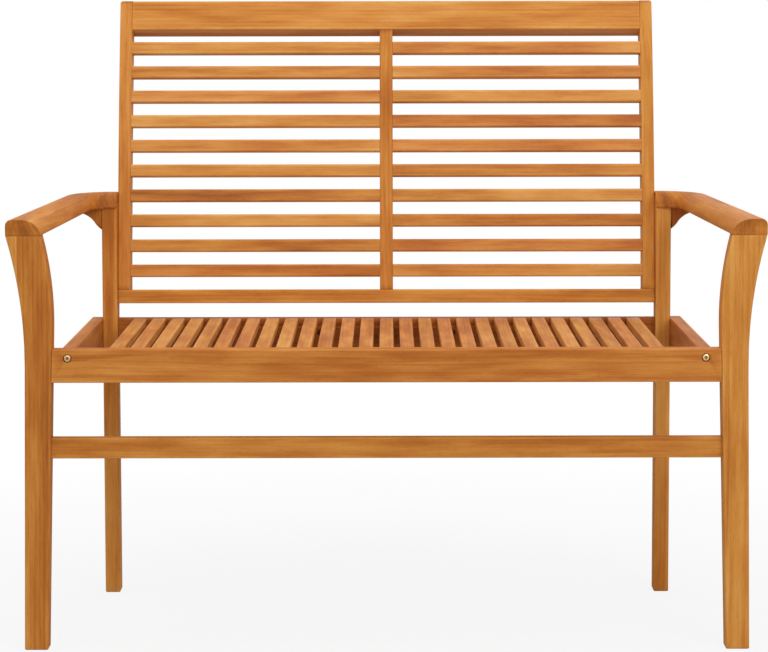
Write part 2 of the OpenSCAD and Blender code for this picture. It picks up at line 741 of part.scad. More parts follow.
// A rail of the back lying along X, square to the arc at its own middle
module back_rail(s, height, half) {
    on_back(s) translate([-half, 0, -height / 2]) bar_x([2 * half, back_depth, height], back_rail_round);
}
module back_bottom_rail() {
    color(TEAK) centred() difference() {
        back_rail(bottom_rail_height / 2, bottom_rail_height, frame_outer);
        both_sides() foot_tenon(frame_outer - stile_width / 2, stile_width, true);
        foot_tenon(0, muntin_width, true);
    }
}
module back_top_rail() {
    color(TEAK) centred() {
        difference() {
            back_rail(top_rail_place, top_rail_height, stile_inner);
            muntin_top_tenon(true);
        }
        both_sides() top_rail_tenon(false);
    }
}

module back_slat_row(row) {
    length = stile_inner - muntin_width / 2;
    color(TEAK) centred() both_sides() {
        on_back(row_place(row)) translate([muntin_width / 2, 0, -back_slat_height / 2])
            bar_x([length, back_slat_thickness, back_slat_height], back_slat_round);
        slat_tenons(row, false);
    }
}

module frame_bolts() {
    color(ZINC) centred() both_sides() {
        bolt(front_bolt[0], front_bolt[1], front_bolt[2]);
        bolt(corner_bolt[0], corner_bolt[1], corner_bolt[2]);
        for (gap = back_bolt_gaps) bolt(back_bolt(gap)[0], back_bolt(gap)[1], back_bolt(gap)[2]);
    }
}
module barrel_nuts() {
    color(ZINC) centred() both_sides() {
        barrel_nut(front_nut, [1, 0, 0], [0, 1, 0]);
        barrel_nut(corner_nut, [0, 1, 0], [1, 0, 0]);
        for (gap = back_bolt_gaps) barrel_nut(back_nut(gap), [0, 1, 0], [1, 0, 0]);
    }
}
module wood_screws() {
    color(ZINC) centred() {
        for (i = [1 : seat_slats], depth = [front_cleat_middle, rear_cleat_middle])
            screw([slat_x(i), depth, cleat_bottom], [0, 0, 1]);
        for (x = cleat_screw_places) {
            screw([x, front_cleat_middle + cleat / 2, slat_bottom - cleat / 2], [0, -1, 0]);
            screw([x, rear_cleat_middle - cleat / 2, slat_bottom - cleat / 2], [0, 1, 0]);
        }
    }
}

front_leg_left();
front_leg_right();
rear_leg_left();
rear_leg_right();
armrest_left();
armrest_right();
arm_bracket_left();
arm_bracket_right();
front_rail();
seat_side_rail_left();
seat_side_rail_right();
rear_rail();
seat_cleats();
centre_bearer();
front_stretcher();
back_stile_left();
back_stile_right();
back_bottom_rail();
back_top_rail();
back_muntin();
frame_bolts();
barrel_nuts();
wood_screws();
for (i = [1 : seat_slats])
    seat_slat(i);
for (i = [1 : back_rows])
    back_slat_row(i);
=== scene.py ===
# %% [markdown]
# # A slatted teak garden bench
# The bench is 68 sticks of teak, each sawn and planed by itself and then joined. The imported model
# already holds every stick at its real size and place. This script dresses that frame: each stick is
# made again with the softened edges that sandpaper leaves, gets its own grain, and is lit as in a
# studio. Reading the frame comes first, so that every later cell can ask it for places.

# %% Load the frame
import math
import random

import bmesh
import bpy
from mathutils import Matrix, Vector


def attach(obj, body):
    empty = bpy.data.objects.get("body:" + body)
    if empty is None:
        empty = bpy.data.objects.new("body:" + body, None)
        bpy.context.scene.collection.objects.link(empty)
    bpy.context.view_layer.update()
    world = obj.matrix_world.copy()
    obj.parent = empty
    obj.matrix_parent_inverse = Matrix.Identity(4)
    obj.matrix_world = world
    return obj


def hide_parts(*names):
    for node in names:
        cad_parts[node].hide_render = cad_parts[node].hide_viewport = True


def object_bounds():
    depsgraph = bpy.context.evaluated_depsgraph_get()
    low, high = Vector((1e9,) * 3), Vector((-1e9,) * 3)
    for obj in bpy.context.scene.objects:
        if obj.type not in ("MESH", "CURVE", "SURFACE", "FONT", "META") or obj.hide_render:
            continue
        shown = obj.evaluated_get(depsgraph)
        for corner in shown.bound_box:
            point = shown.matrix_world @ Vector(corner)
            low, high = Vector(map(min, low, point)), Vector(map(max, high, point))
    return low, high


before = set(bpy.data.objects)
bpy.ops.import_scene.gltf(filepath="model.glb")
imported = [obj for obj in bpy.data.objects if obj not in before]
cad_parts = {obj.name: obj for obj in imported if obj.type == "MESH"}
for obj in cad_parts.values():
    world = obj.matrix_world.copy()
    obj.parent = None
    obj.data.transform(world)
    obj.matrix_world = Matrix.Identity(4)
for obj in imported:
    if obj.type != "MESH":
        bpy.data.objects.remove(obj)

cad_low, cad_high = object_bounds()
front = cad_low[1]
print("the bench measures", [round(high - low, 4) for low, high in zip(cad_low, cad_high)], "metres")

# %% [markdown]
# ## Where things are
# A joiner measures depths back from the front face of the front legs, and in millimetres. One helper
# turns such a place into a point in the frame, so the numbers below read like those on a drawing.

# %% Places in millimetres
MM = 0.001
SIDES = ((1, "right"), (-1, "left"))


def at(x, depth, z):
    """The point at a distance across, back from the legs' front faces, and up, in millimetres."""
    return Vector((x * MM, front + depth * MM, z * MM))


SEAT_HEIGHT, RAIL_BOTTOM = 446.5, 397.5
ARM_HEIGHT, ARM_SLOPE = 613, math.radians(1.67)
LEG_SETBACK, REAR_LEG_WIDTH, REAR_LEG_DEPTH = 433, 24, 38
REAR_BACK = LEG_SETBACK + REAR_LEG_DEPTH
PLAY = 0.3

# %% [markdown]
# ## The two edges of a front leg
# Below its knee each edge of the leg is a straight line that leans out a little towards the foot.
# Above it the edge follows a circle outwards. One small function gives both edges at any height, and
# nearly everything else across the bench is measured from them.

# %% The edges of a front leg
KNEE_X, KNEE_WIDTH = 530, 39.6
OUTER = {"knee": 420, "radius": 671, "splay": math.radians(0.71), "x": KNEE_X}
INNER = {"knee": 475, "radius": 510, "splay": math.radians(1.38)}
INNER["x"] = KNEE_X - KNEE_WIDTH + (OUTER["knee"] - INNER["knee"]) * math.tan(INNER["splay"])
SIDE_RAIL_INSET, SIDE_RAIL_WIDTH, STILE_WIDTH = 12.3, 20, 20


def edge_at(edge, z):
    """How far out an edge of the front leg is at a height."""
    if z < edge["knee"]:
        return edge["x"] + (edge["knee"] - z) * math.tan(edge["splay"])
    centre_x = edge["x"] + edge["radius"] * math.cos(edge["splay"])
    centre_z = edge["knee"] + edge["radius"] * math.sin(edge["splay"])
    return centre_x - math.sqrt(edge["radius"] ** 2 - (z - centre_z) ** 2)


side_rail_outer = edge_at(INNER, SEAT_HEIGHT) - SIDE_RAIL_INSET
side_rail_middle = side_rail_outer - SIDE_RAIL_WIDTH / 2
rear_outer = side_rail_outer - SIDE_RAIL_WIDTH
rear_inner = rear_outer - REAR_LEG_WIDTH
frame_outer = rear_inner - PLAY
stile_inner = frame_outer - STILE_WIDTH
print("rear legs between", round(rear_inner, 1), "and", round(rear_outer, 1), "mm from the middle")

# %% [markdown]
# ## The arc of the back
# The back leans and is gently curved: its front lies on a circle of about two metres. A place on it
# is given by the length along that arc, the depth into the back, and a step square to that depth.

# %% The arc of the back
BACK_RADIUS, BACK_LEAN, BACK_DEPTH = 2137, math.radians(5.05), 40
BACK_BOTTOM, BACK_INSET = SEAT_HEIGHT + 25, 6.8
BOTTOM_RAIL, TOP_RAIL = 22, 48.5
SLAT_HEIGHT, SLAT_GAP, SLAT_DEPTH, ROWS = 20.2, 20.4, 14, 10
ROW_PITCH = SLAT_HEIGHT + SLAT_GAP
back_centre = (LEG_SETBACK + BACK_INSET + BACK_RADIUS * math.cos(BACK_LEAN),
               BACK_BOTTOM - BACK_RADIUS * math.sin(BACK_LEAN))
back_length = BOTTOM_RAIL + ROWS * ROW_PITCH + SLAT_GAP + TOP_RAIL
top_rail_place = back_length - TOP_RAIL / 2


def lean_at(s):
    """The lean of the back at a length along its arc."""
    return BACK_LEAN + s / BACK_RADIUS


def on_back(s, x, y, z):
    """The point at x across, y into the back and z along it from the place s."""
    lean = lean_at(s)
    depth = back_centre[0] + (y - BACK_RADIUS) * math.cos(lean) + z * math.sin(lean)
    height = back_centre[1] - (y - BACK_RADIUS) * math.sin(lean) + z * math.cos(lean)
    return at(x, depth, height)


print("the back is", round(back_length, 1), "mm long along its arc")

# %% [markdown]
# ## Sticks with softened edges
# A planed stick isn't a sharp box: its long edges are rounded and its ends eased. It could be a cube
# with a bevel, but most sticks here are curved, cut at an angle or drilled. So a stick is drawn as a
# row of outlines that are skinned over, and each outline is a rounded rectangle. A point on each flat
# close to every corner keeps the flats flat when the mesh is shaded smooth, and the same points fade
# out a mask called edge, which later makes the corners paler: partly wear, partly a painted highlight.

# %% Outlines and skins
CORNER_STEPS = 4
EDGE_FADE = 2.2
LEAST_ROUND = 0.3


def as_object(name, data):
    """Puts a mesh, lamp or camera into the scene."""
    piece = bpy.data.objects.new(name, data)
    bpy.context.scene.collection.objects.link(piece)
    return piece


def set_float(mesh, name, values):
    """Writes one float per vertex."""
    layer = mesh.attributes.get(name) or mesh.attributes.new(name, "FLOAT", "POINT")
    layer.data.foreach_set("value", values)


def rounded(width, height, r, inset=0):
    """The outline of a rounded rectangle, drawn in by an inset, as (across, up, edge) points."""
    width, height, r = width - 2 * inset, height - 2 * inset, max(r - inset, LEAST_ROUND)
    outline = []
    fade = min(EDGE_FADE, (min(width, height) / 2 - r) * 0.8)
    for turn, (sx, sy) in enumerate(((1, 1), (-1, 1), (-1, -1), (1, -1))):
        cx, cy = sx * (width / 2 - r), sy * (height / 2 - r)
        for i in range(-1, CORNER_STEPS + 2):
            a = math.radians(90 * (turn + min(max(i, 0), CORNER_STEPS) / CORNER_STEPS))
            slip = fade if i > CORNER_STEPS else -fade if i < 0 else 0
            outline.append((cx + r * math.cos(a) - slip * math.sin(a),
                            cy + r * math.sin(a) + slip * math.cos(a), 0.0 if slip else 1.0))
    return outline


def skin(name, rings):
    """A closed mesh object over rings of (point, edge) pairs, with a flat cap at each end."""
    count, last = len(rings[0]), len(rings) - 1
    faces = [[k * count + i, k * count + (i + 1) % count,
              (k + 1) * count + (i + 1) % count, (k + 1) * count + i]
             for k in range(last) for i in range(count)]
    faces += [list(range(count))[::-1], [last * count + i for i in range(count)]]
    mesh = bpy.data.meshes.new(name)
    mesh.from_pydata([point for ring in rings for point, edge in ring], [], faces)
    set_float(mesh, "edge", [edge for ring in rings for point, edge in ring])
    shell = bmesh.new()
    shell.from_mesh(mesh)
    bmesh.ops.recalc_face_normals(shell, faces=shell.faces)
    shell.to_mesh(mesh)
    shell.free()
    return as_object(name, mesh)


# %% Straight sticks
CAP = 1.5
AXES = {"x": (0, 1, 2), "y": (1, 0, 2), "z": (2, 0, 1)}


def ease_steps(ease):
    """How an end is eased, from its cap inwards, as (way in, inset, edge)."""
    return [(0, ease + CAP, 0.0)] + [(ease * (1 - math.cos(a)), ease * (1 - math.sin(a)), 1.0)
                                     for a in map(math.radians, (0, 30, 60, 90))]


def eased(start, end, ease, between=()):
    """Stations along a stick as (place, inset, edge). Its outline draws in over the eased ends."""
    near = [(start + way, inset, edge) for way, inset, edge in ease_steps(ease[0])]
    far = [(end - way, inset, edge) for way, inset, edge in ease_steps(ease[1])]
    flat = [start + ease[0] + EDGE_FADE, *between, end - ease[1] - EDGE_FADE]
    return near + [(u, 0, 0.0) for u in flat] + far[::-1]


def stick(name, stations, outline, place):
    """A stick skinned over its stations: outline(u, inset) draws it and place(u, v, w) sets it down."""
    return skin(name, [[(place(u, v, w), max(edge, end_edge) if inset <= CAP or end_edge else 0.0)
                        for v, w, edge in outline(u, inset)] for u, inset, end_edge in stations])


def box_outline(width, height, r):
    """The outline function of a stick whose section stays the same."""
    return lambda u, inset: rounded(width, height, r, inset)


def bar(name, axis, corner, opposite, r, ease=(0.5, 0.5)):
    """A straight bar along an axis between two corners, each given as (x, depth, z)."""
    low, high = zip(*map(sorted, zip(corner, opposite)))
    middle = [(a + b) / 2 for a, b in zip(low, high)]
    along, across, up = AXES[axis]

    def place(u, v, w):
        spot = list(middle)
        spot[along] = u
        spot[across] += v
        spot[up] += w
        return at(*spot)
    return stick(name, eased(low[along], high[along], ease),
                 box_outline(high[across] - low[across], high[up] - low[up], r), place)


# %% [markdown]
# ## Drilled holes
# Bolts sit in recesses, and barrel nuts go in through cross holes. A boolean cuts them as a drill
# would. The cutter is a plain cylinder that starts just outside the wood.

# %% Drilling
NUDGE = 1
RECESS_WIDTH, RECESS_DEPTH = 12.6, 7
NUT_HOLE, NUT_HOLE_DEPTH = 10.4, 15


def from_shape(name, shape):
    """The object that a bmesh describes."""
    mesh = bpy.data.meshes.new(name)
    shape.to_mesh(mesh)
    shape.free()
    return as_object(name, mesh)


def plain(piece):
    """Turns an object's evaluated result into its own plain mesh, without modifiers."""
    graph = bpy.context.evaluated_depsgraph_get()
    mesh = bpy.data.meshes.new_from_object(piece.evaluated_get(graph), preserve_all_data_layers=True,
                                           depsgraph=graph)
    piece.modifiers.clear()
    piece.data = mesh
    return piece


def carve(piece, cutter, operation="DIFFERENCE"):
    """Cuts one mesh with another and throws the cutter away."""
    cut = piece.modifiers.new("cut", "BOOLEAN")
    cut.solver = "EXACT"
    cut.operation = operation
    cut.object = cutter
    plain(piece)
    bpy.data.objects.remove(cutter)
    return piece


def drill(piece, start, way, depth=RECESS_DEPTH, diameter=RECESS_WIDTH):
    """A round hole from a place (x, depth, z) along an axis of the bench, if not told else a recess."""
    shape = bmesh.new()
    bmesh.ops.create_cone(shape, cap_ends=True, segments=40, radius1=diameter / 2 * MM,
                          radius2=diameter / 2 * MM, depth=(depth + NUDGE) * MM)
    way = Vector(way)
    middle = at(*start) + way * ((depth - NUDGE) / 2 * MM)
    turn = Vector((0, 0, 1)).rotation_difference(way).to_matrix().to_4x4()
    bmesh.ops.transform(shape, matrix=Matrix.Translation(middle) @ turn, verts=shape.verts)
    return carve(piece, from_shape("cutter", shape))


# %% [markdown]
# ## Node trees
# What repeats is made by Geometry Nodes, and the finishes by shader nodes. Both kinds of tree are
# built with the same few helpers. A long sum is hard to read as a row of math nodes, so a node's
# result is kept as a wire, and adding or multiplying wires makes the math nodes.

# %% Node helpers


class Wire:
    """What flows out of a node. Sums, products and so on of it are made with math nodes."""

    def __init__(self, socket):
        self.socket, self.tree = socket, socket.id_data

    def math(self, operation, other=0.0):
        """What a math node makes of this value and another."""
        return made(self.tree, "ShaderNodeMath", {0: self, 1: other}, operation=operation)

    def vector(self, operation, other=(0.0, 0.0, 0.0), output=0):
        """What a vector math node makes of this vector and another."""
        return made(self.tree, "ShaderNodeVectorMath", {0: self, 1: other}, output, operation=operation)

    def parts(self):
        """The X, Y and Z of this vector."""
        return wires(add(self.tree, "ShaderNodeSeparateXYZ", {0: self}).outputs)

    def __add__(self, other):
        return self.math("ADD", other)

    def __sub__(self, other):
        return self.math("SUBTRACT", other)

    def __mul__(self, other):
        return self.math("MULTIPLY", other)

    def __truediv__(self, other):
        return self.math("DIVIDE", other)

    def __pow__(self, other):
        return self.math("POWER", other)


def wires(sockets):
    """The wires of some sockets by name."""
    return {socket.name: Wire(socket) for socket in sockets}


def fill(node, values):
    """Sets a node's inputs, or links them where the value is a wire."""
    for name, value in values.items():
        if isinstance(value, Wire):
            value.tree.links.new(value.socket, node.inputs[name])
        else:
            node.inputs[name].default_value = value


def add(tree, kind, values=None, **settings):
    """Adds a node, sets its properties and fills its inputs."""
    node = tree.nodes.new(kind)
    for name, value in settings.items():
        setattr(node, name, value)
    fill(node, values or {})
    return node


def made(tree, kind, values=None, output=0, **settings):
    """What a new node puts out."""
    return Wire(add(tree, kind, values, **settings).outputs[output])


def new_tree(kind, name, inputs, outputs):
    """An empty tree with sockets, given as {kind: "Name, Name"}: the tree, its inputs and its end."""
    tree = bpy.data.node_groups.new(name, kind)
    for way, sockets in (("INPUT", inputs), ("OUTPUT", outputs)):
        for socket_kind, labels in sockets.items():
            for label in labels.split(", "):
                tree.interface.new_socket(label, in_out=way, socket_type="NodeSocket" + socket_kind)
    return tree, wires(tree.nodes.new("NodeGroupInput").outputs), tree.nodes.new("NodeGroupOutput")


def combined(tree, **parts):
    """A vector from its X, Y and Z."""
    return made(tree, "ShaderNodeCombineXYZ", parts)


# %% Geometry helpers


def geometry_tree(name, inputs):
    """An empty geometry tree with named inputs."""
    geometry = {"Geometry": "Geometry"}
    return new_tree("GeometryNodeTree", name, {**geometry, **inputs}, geometry)


def end_tree(end, geometry, finish):
    """Makes any copies real, gives them their material and ends the tree."""
    tree = geometry.tree
    real = made(tree, "GeometryNodeRealizeInstances", {"Geometry": geometry})
    fill(end, {0: made(tree, "GeometryNodeSetMaterial", {"Geometry": real, "Material": finish})})
    print("the tree of", tree.name, "has", len(tree.nodes), "nodes")


def grow(name, tree, values, points=()):
    """The plain mesh object that a tree makes from the given values."""
    seed = bpy.data.meshes.new(name)
    seed.from_pydata([spot for spot, turn in points], [], [])
    if points:
        turns = seed.attributes.new("turn", "FLOAT_VECTOR", "POINT")
        turns.data.foreach_set("vector", [angle for spot, turn in points for angle in turn])
    piece = as_object(name, seed)
    modifier = piece.modifiers.new("nodes", "NODES")
    modifier.node_group = tree
    for item in tree.interface.items_tree:
        if item.item_type == "SOCKET" and item.in_out == "INPUT" and item.name in values:
            modifier[item.identifier] = values[item.name]
    return plain(piece)


def rounded_bar(given, start, end, steps=None):
    """Sweeps a rounded rectangle from start to end, in so many steps where that is given."""
    tree = given["Width"].tree
    line = made(tree, "GeometryNodeCurvePrimitiveLine", {"Start": start, "End": end})
    if steps:
        line = made(tree, "GeometryNodeResampleCurve", {"Curve": line, "Count": steps})
    outline = made(tree, "GeometryNodeCurvePrimitiveQuadrilateral",
                   {"Width": given["Width"], "Height": given["Height"]})
    fillet = made(tree, "GeometryNodeFilletCurve",
                  {"Curve": outline, "Radius": given["Rounding"], "Count": 4}, mode="POLY")
    fine = made(tree, "GeometryNodeResampleCurve", {"Curve": fillet, "Length": 0.9 * MM}, mode="LENGTH")
    return made(tree, "GeometryNodeCurveToMesh",
                {"Curve": line, "Profile Curve": fine, "Fill Caps": True})


def position(tree):
    """Where each point is."""
    return made(tree, "GeometryNodeInputPosition")


def store(geometry, name, value, data_type="FLOAT_VECTOR", domain="POINT"):
    """Keeps a value on the geometry under a name that a material can read."""
    return made(geometry.tree, "GeometryNodeStoreNamedAttribute",
                {"Geometry": geometry, "Name": name, "Value": value}, data_type=data_type, domain=domain)


# %% [markdown]
# ## The look of teak
# Oiled teak is golden to reddish brown. A log grows in rings round its pith, and a stick sawn from it
# cuts through them: where it runs along the rings they show as long straight bands, and where it
# crosses them at a low angle, as pointed arches. A picture could show that on one face only, so the
# rings are worked out in space. Every stick carries coordinates called grain, with X along the
# fibres and the pith at zero. The distance from the pith gives the rings, the pale sapwood outside
# them, and noise stretched along X gives the fibres and pores.

# %% Patterns


def noise(place, stretch, detail=2.0, output=0):
    """A noise texture whose pattern is repeated so many times a metre along each axis."""
    return made(place.tree, "ShaderNodeTexNoise",
                {"Vector": place.vector("MULTIPLY", stretch), "Scale": 1.0, "Detail": detail}, output)


def ranged(value, low, high, to_low=0.0, to_high=1.0, smooth="LINEAR"):
    """A value mapped from one range to another and kept within it."""
    return made(value.tree, "ShaderNodeMapRange",
                {"Value": value, "From Min": low, "From Max": high, "To Min": to_low, "To Max": to_high},
                interpolation_type=smooth)


# %% The grain group
RING_PITCH = 0.0065
grain_group, given, end = new_tree("ShaderNodeTree", "teak grain", {"Vector": "Grain", "Float": "Stick, Sap"},
                                   {"Float": "Rings, Sapwood, Fibres, Pores, Clouds, Height"})
grain, number = given["Grain"], given["Stick"]
own = grain.vector("ADD", combined(grain_group, X=number * 61.7))
wander = noise(own, (1.7, 7.0, 7.0), 2.0, 1).vector("SUBTRACT", (0.5, 0.5, 0.5))
bent = grain.vector("ADD", wander.vector("MULTIPLY", (0.0, 0.022, 0.022)))
from_pith = bent.vector("MULTIPLY", (0.0, 1.0, 1.0)).vector("LENGTH", output="Value")
ring = from_pith / RING_PITCH
log = (number * 97.0).math("FLOOR") * 41.0
year = made(grain_group, "ShaderNodeTexWhiteNoise", {"W": (ring + log).math("FLOOR")}, "Value",
            noise_dimensions="1D")
within = ring.math("FRACT")
band = within ** 1.8 * ranged(within, 0.82, 1.0, 1.0, 0.0)
fibres = ranged(noise(own, (7.0, 420.0, 420.0), 4.0), 0.3, 0.7)
pores = ranged(noise(own, (85.0, 1900.0, 1900.0), 1.0), 0.60, 0.70)
broad = ranged(noise(own, (3.0, 24.0, 24.0)), 0.3, 0.7)
narrow = ranged(noise(own, (11.0, 75.0, 75.0)), 0.3, 0.7)
fill(end, {"Rings": band * 0.6 + year * 0.4, "Fibres": fibres, "Pores": pores,
           "Sapwood": ranged(from_pith - given["Sap"], -0.0005, 0.0007, smooth="SMOOTHSTEP"),
           "Clouds": broad * 0.55 + narrow * 0.45, "Height": fibres * 0.4 - pores})
print("teak grain has", len(grain_group.nodes), "nodes")

# %% [markdown]
# ## Worn edges with a painted highlight, and end grain
# Hands and sandpaper rub the corners of a stick paler, and end grain drinks more oil and goes darker.
# The paler corners also stand for the highlight that a rounded edge catches, so they are partly a
# painted highlight. Both teak finishes need that, so it is a group of its own. It takes a tone and the
# masks that the meshes carry, breaks the paler edges up with noise along the grain, and gives the
# changed tone back.

# %% The edge wear and highlight group
edge_wear_and_highlight_group, given, end = new_tree(
    "ShaderNodeTree", "edge wear",
    {"Vector": "Grain", "Float": "Tone, Edge, End Grain, Paler Edge, Darker End"}, {"Float": "Tone"})
uneven = ranged(noise(given["Grain"], (25.0, 90.0, 90.0)), 0.3, 0.7, 0.3, 1.7)
# Paler edges, partly wear and partly a painted highlight on the rounded corners.
rubbed_and_highlighted = given["Edge"] * uneven * given["Paler Edge"]
fill(end, {"Tone": given["Tone"] + rubbed_and_highlighted - given["End Grain"] * given["Darker End"]})
print("edge wear has", len(edge_wear_and_highlight_group.nodes), "nodes")

# %% [markdown]
# ## Teak materials
# The tone of the wood runs from deep brown to pale gold along a colour ramp. A stick's own tone sets
# the middle, and rings, fibres and clouds move it a little before the group of edge wear and painted edge
# highlight has its turn.
# The surface is oiled, so it is satin with little gloss, and a small bump follows fibres and pores.

# %% Teak


def srgb(red, green, blue):
    """A colour as seen on screen, 0 to 255, turned into the linear numbers that a shader uses."""
    def linear(c):
        c /= 255
        return c / 12.92 if c <= 0.04045 else ((c + 0.055) / 1.055) ** 2.4
    return (linear(red), linear(green), linear(blue), 1.0)


TEAK_TONES = ((0.0, srgb(88, 38, 8)), (0.3, srgb(152, 81, 25)), (0.5, srgb(187, 109, 37)),
              (0.7, srgb(213, 141, 62)), (1.0, srgb(236, 180, 106)))
END_GRAIN_DARKER = 0.17


def new_material(name):
    """A material, its node tree and its shader."""
    material = bpy.data.materials.new(name)
    material.use_nodes = True
    return material, material.node_tree, material.node_tree.nodes["Principled BSDF"]


def attribute(tree, name, output="Fac"):
    """What a piece's mesh says under a name."""
    return made(tree, "ShaderNodeAttribute", None, output, attribute_name=name)


def teak(name, gloss, roughness, edge_wear, figure):
    """A teak material with so much gloss, roughness, paler edges for wear and a painted highlight, and cloudy
    figure.
    """
    material, tree, shader = new_material(name)
    grain, number = attribute(tree, "grain", "Vector"), attribute(tree, "stick")
    pattern = wires(add(tree, "ShaderNodeGroup", {"Grain": grain, "Stick": number,
                                                  "Sap": attribute(tree, "sap")},
                        node_tree=grain_group).outputs)
    tone = attribute(tree, "tone")
    for label, middle, weight in (("Rings", 0.3, -0.14), ("Fibres", 0.5, 0.10), ("Clouds", 0.5, figure),
                                  ("Pores", 0.1, -0.10), ("Sapwood", 0.0, 0.20)):
        tone = tone + (pattern[label] - middle) * weight
    varied = made(tree, "ShaderNodeGroup", {
        "Tone": tone, "Grain": grain, "Edge": attribute(tree, "edge"), "Paler Edge": edge_wear,
        "End Grain": attribute(tree, "across"), "Darker End": END_GRAIN_DARKER}, node_tree=edge_wear_and_highlight_group)
    ramp = add(tree, "ShaderNodeValToRGB", {"Fac": varied})
    while len(ramp.color_ramp.elements) < len(TEAK_TONES):
        ramp.color_ramp.elements.new(0.5)
    for stop, (place, colour) in zip(ramp.color_ramp.elements, TEAK_TONES):
        stop.position = place
        stop.color = colour
    fill(shader, {
        "Specular IOR Level": gloss,
        "Base Color": made(tree, "ShaderNodeHueSaturation", {
            "Hue": ranged(number, 0.0, 1.0, 0.496, 0.504), "Color": Wire(ramp.outputs["Color"])}),
        "Roughness": ranged(pattern["Fibres"], 0.0, 1.0, roughness - 0.06, roughness + 0.08),
        "Normal": made(tree, "ShaderNodeBump", {"Height": pattern["Height"], "Strength": 0.3,
                                                "Distance": 0.0003})})
    print(name, "has", len(tree.nodes), "nodes")
    return material


# The fourth number sets how much paler the edges get, as wear and as a painted highlight.
TEAK_FRAME = teak("teak frame", 0.22, 0.62, 0.06, 0.35)
TEAK_SLATS = teak("teak slats", 0.33, 0.56, 0.05, 0.46)

# %% [markdown]
# ## Zinc plated steel
# The bolts, nuts and screws are steel with yellow zinc, which is a pale metal that shimmers from
# gold to grey. Noise at two scales moves the colour and the roughness. The sockets of the bolts get
# painted shade: their mesh carries a mask that makes them dark brown, rough and hardly metallic.

# %% Zinc
# The last colour is painted shade for the sockets of the bolts.
GREY_ZINC, GOLD_ZINC, PAINTED_SOCKET_SHADE = srgb(222, 184, 128), srgb(244, 212, 160), srgb(166, 116, 70)


def zinc():
    """The material of everything made of metal. Painted shade darkens the sockets where the mesh says so."""
    material, tree, shader = new_material("yellow zinc")
    place = made(tree, "ShaderNodeTexCoord", None, "Object")
    dirt = attribute(tree, "dirt")
    shimmer = ranged(noise(place, (220.0,) * 3, 3.0), 0.35, 0.65)
    colour = made(tree, "ShaderNodeMix", {"Factor": shimmer, 6: GREY_ZINC, 7: GOLD_ZINC}, 2, data_type="RGBA")
    varied = ranged(noise(place, (900.0,) * 3), 0.3, 0.7, 0.26, 0.42)
    fill(shader, {
        # Where the mask says so, painted shade: dark brown, less metallic and rougher.
        "Base Color": made(tree, "ShaderNodeMix", {"Factor": dirt, 6: colour, 7: PAINTED_SOCKET_SHADE}, 2, data_type="RGBA"),
        "Metallic": ranged(dirt, 0.0, 1.0, 1.0, 0.1), "Roughness": varied.math("MAXIMUM", dirt * 0.8)})
    print("yellow zinc has", len(tree.nodes), "nodes")
    return material


ZINC = zinc()

# %% [markdown]
# ## Finishing a stick
# Every wooden piece ends the same way. It gets its grain coordinates, its tone and its own random
# number, smooth shading with sharp corners kept and a material, and the CAD nodes that it stands for
# are hidden. Curved legs, stiles and armrests are sawn from straight boards, so their grain stays
# straight while the wood's outline bends away from it. That is why the same rule serves them all.

# %% Finish wood
SMOOTH_ANGLE = math.radians(40)
NO_SAP = 9.0
PITH_AWAY = (0.05, 0.10)
END_GRAIN_STARTS, END_GRAIN_FADES = 0.25, 0.55


def hand_over(piece, nodes, material):
    """Shades a piece, hangs it under the root body and hides the CAD nodes that it replaces."""
    mesh = piece.data
    mesh.materials.clear()
    mesh.materials.append(material)
    mesh.polygons.foreach_set("material_index", [0] * len(mesh.polygons))
    mesh.shade_smooth()
    mesh.set_sharp_from_angle(angle=SMOOTH_ANGLE)
    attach(piece, "root")
    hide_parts(*nodes)
    print(piece.name, "has", len(mesh.polygons), "faces and stands for", len(nodes), "of the nodes")


def finish_wood(piece, along, node, tone=0.5, drift=0.0, turn=0.0, lean=0.0, pith=None, sap=NO_SAP):
    """Finishes a stick whose grain runs along an axis, turned about the upright and leaned back.

    drift is how much paler it gets per metre. pith is how far the log's pith lies from the stick,
    square to its grain, and sap is how far from the pith the sapwood starts."""
    mesh = piece.data
    order = AXES[along]
    luck = random.Random(piece.name)
    middle = sum((vertex.co for vertex in mesh.vertices), Vector()) / len(mesh.vertices)
    spin = Matrix.Rotation(lean, 3, "X") @ Matrix.Rotation(turn, 3, "Z")
    angle, distance = luck.uniform(0, 2 * math.pi), luck.uniform(*PITH_AWAY)
    pith = pith or (distance * math.cos(angle), distance * math.sin(angle))
    grain, across = [], []
    for vertex in mesh.vertices:
        local, normal = spin @ (vertex.co - middle), spin @ vertex.normal
        grain += [local[order[0]], local[order[1]] + pith[0], local[order[2]] + pith[1]]
        across.append(min(max((abs(normal[order[0]]) - END_GRAIN_STARTS) / END_GRAIN_FADES, 0), 1))
    layer = mesh.attributes.new("grain", "FLOAT_VECTOR", "POINT")
    layer.data.foreach_set("vector", grain)
    count = len(mesh.vertices)
    for name, values in (("across", across), ("stick", [luck.random()] * count), ("sap", [sap] * count),
                         ("tone", [tone + drift * way for way in grain[::3]])):
        set_float(mesh, name, values)
    hand_over(piece, [node], TEAK_FRAME)


# %% [markdown]
# ## Front legs
# A front leg is sawn from one board 34 mm thick. Its section is a rounded rectangle whose width is
# the distance between the two edges, so it is skinned upwards through closely spaced heights. The
# top is cut along the slope of the armrest, and the foot is chamfered so that it doesn't split.

# %% Front legs
FRONT_DEPTH, FRONT_ROUND = 34, 2.6
FOOT_CHAMFER, TOP_EASE, TOP_GAP = 2.2, 0.3, 0.15
LEG_HEIGHTS = [60, 200, 340, 420, 450, 475, *range(487, 606, 8)]
LEG_LOOKS = {"right": {"tone": 0.65, "drift": -0.03},
             "left": {"tone": 0.52, "drift": -0.11, "pith": (-0.094, 0.0), "sap": 0.1175}}


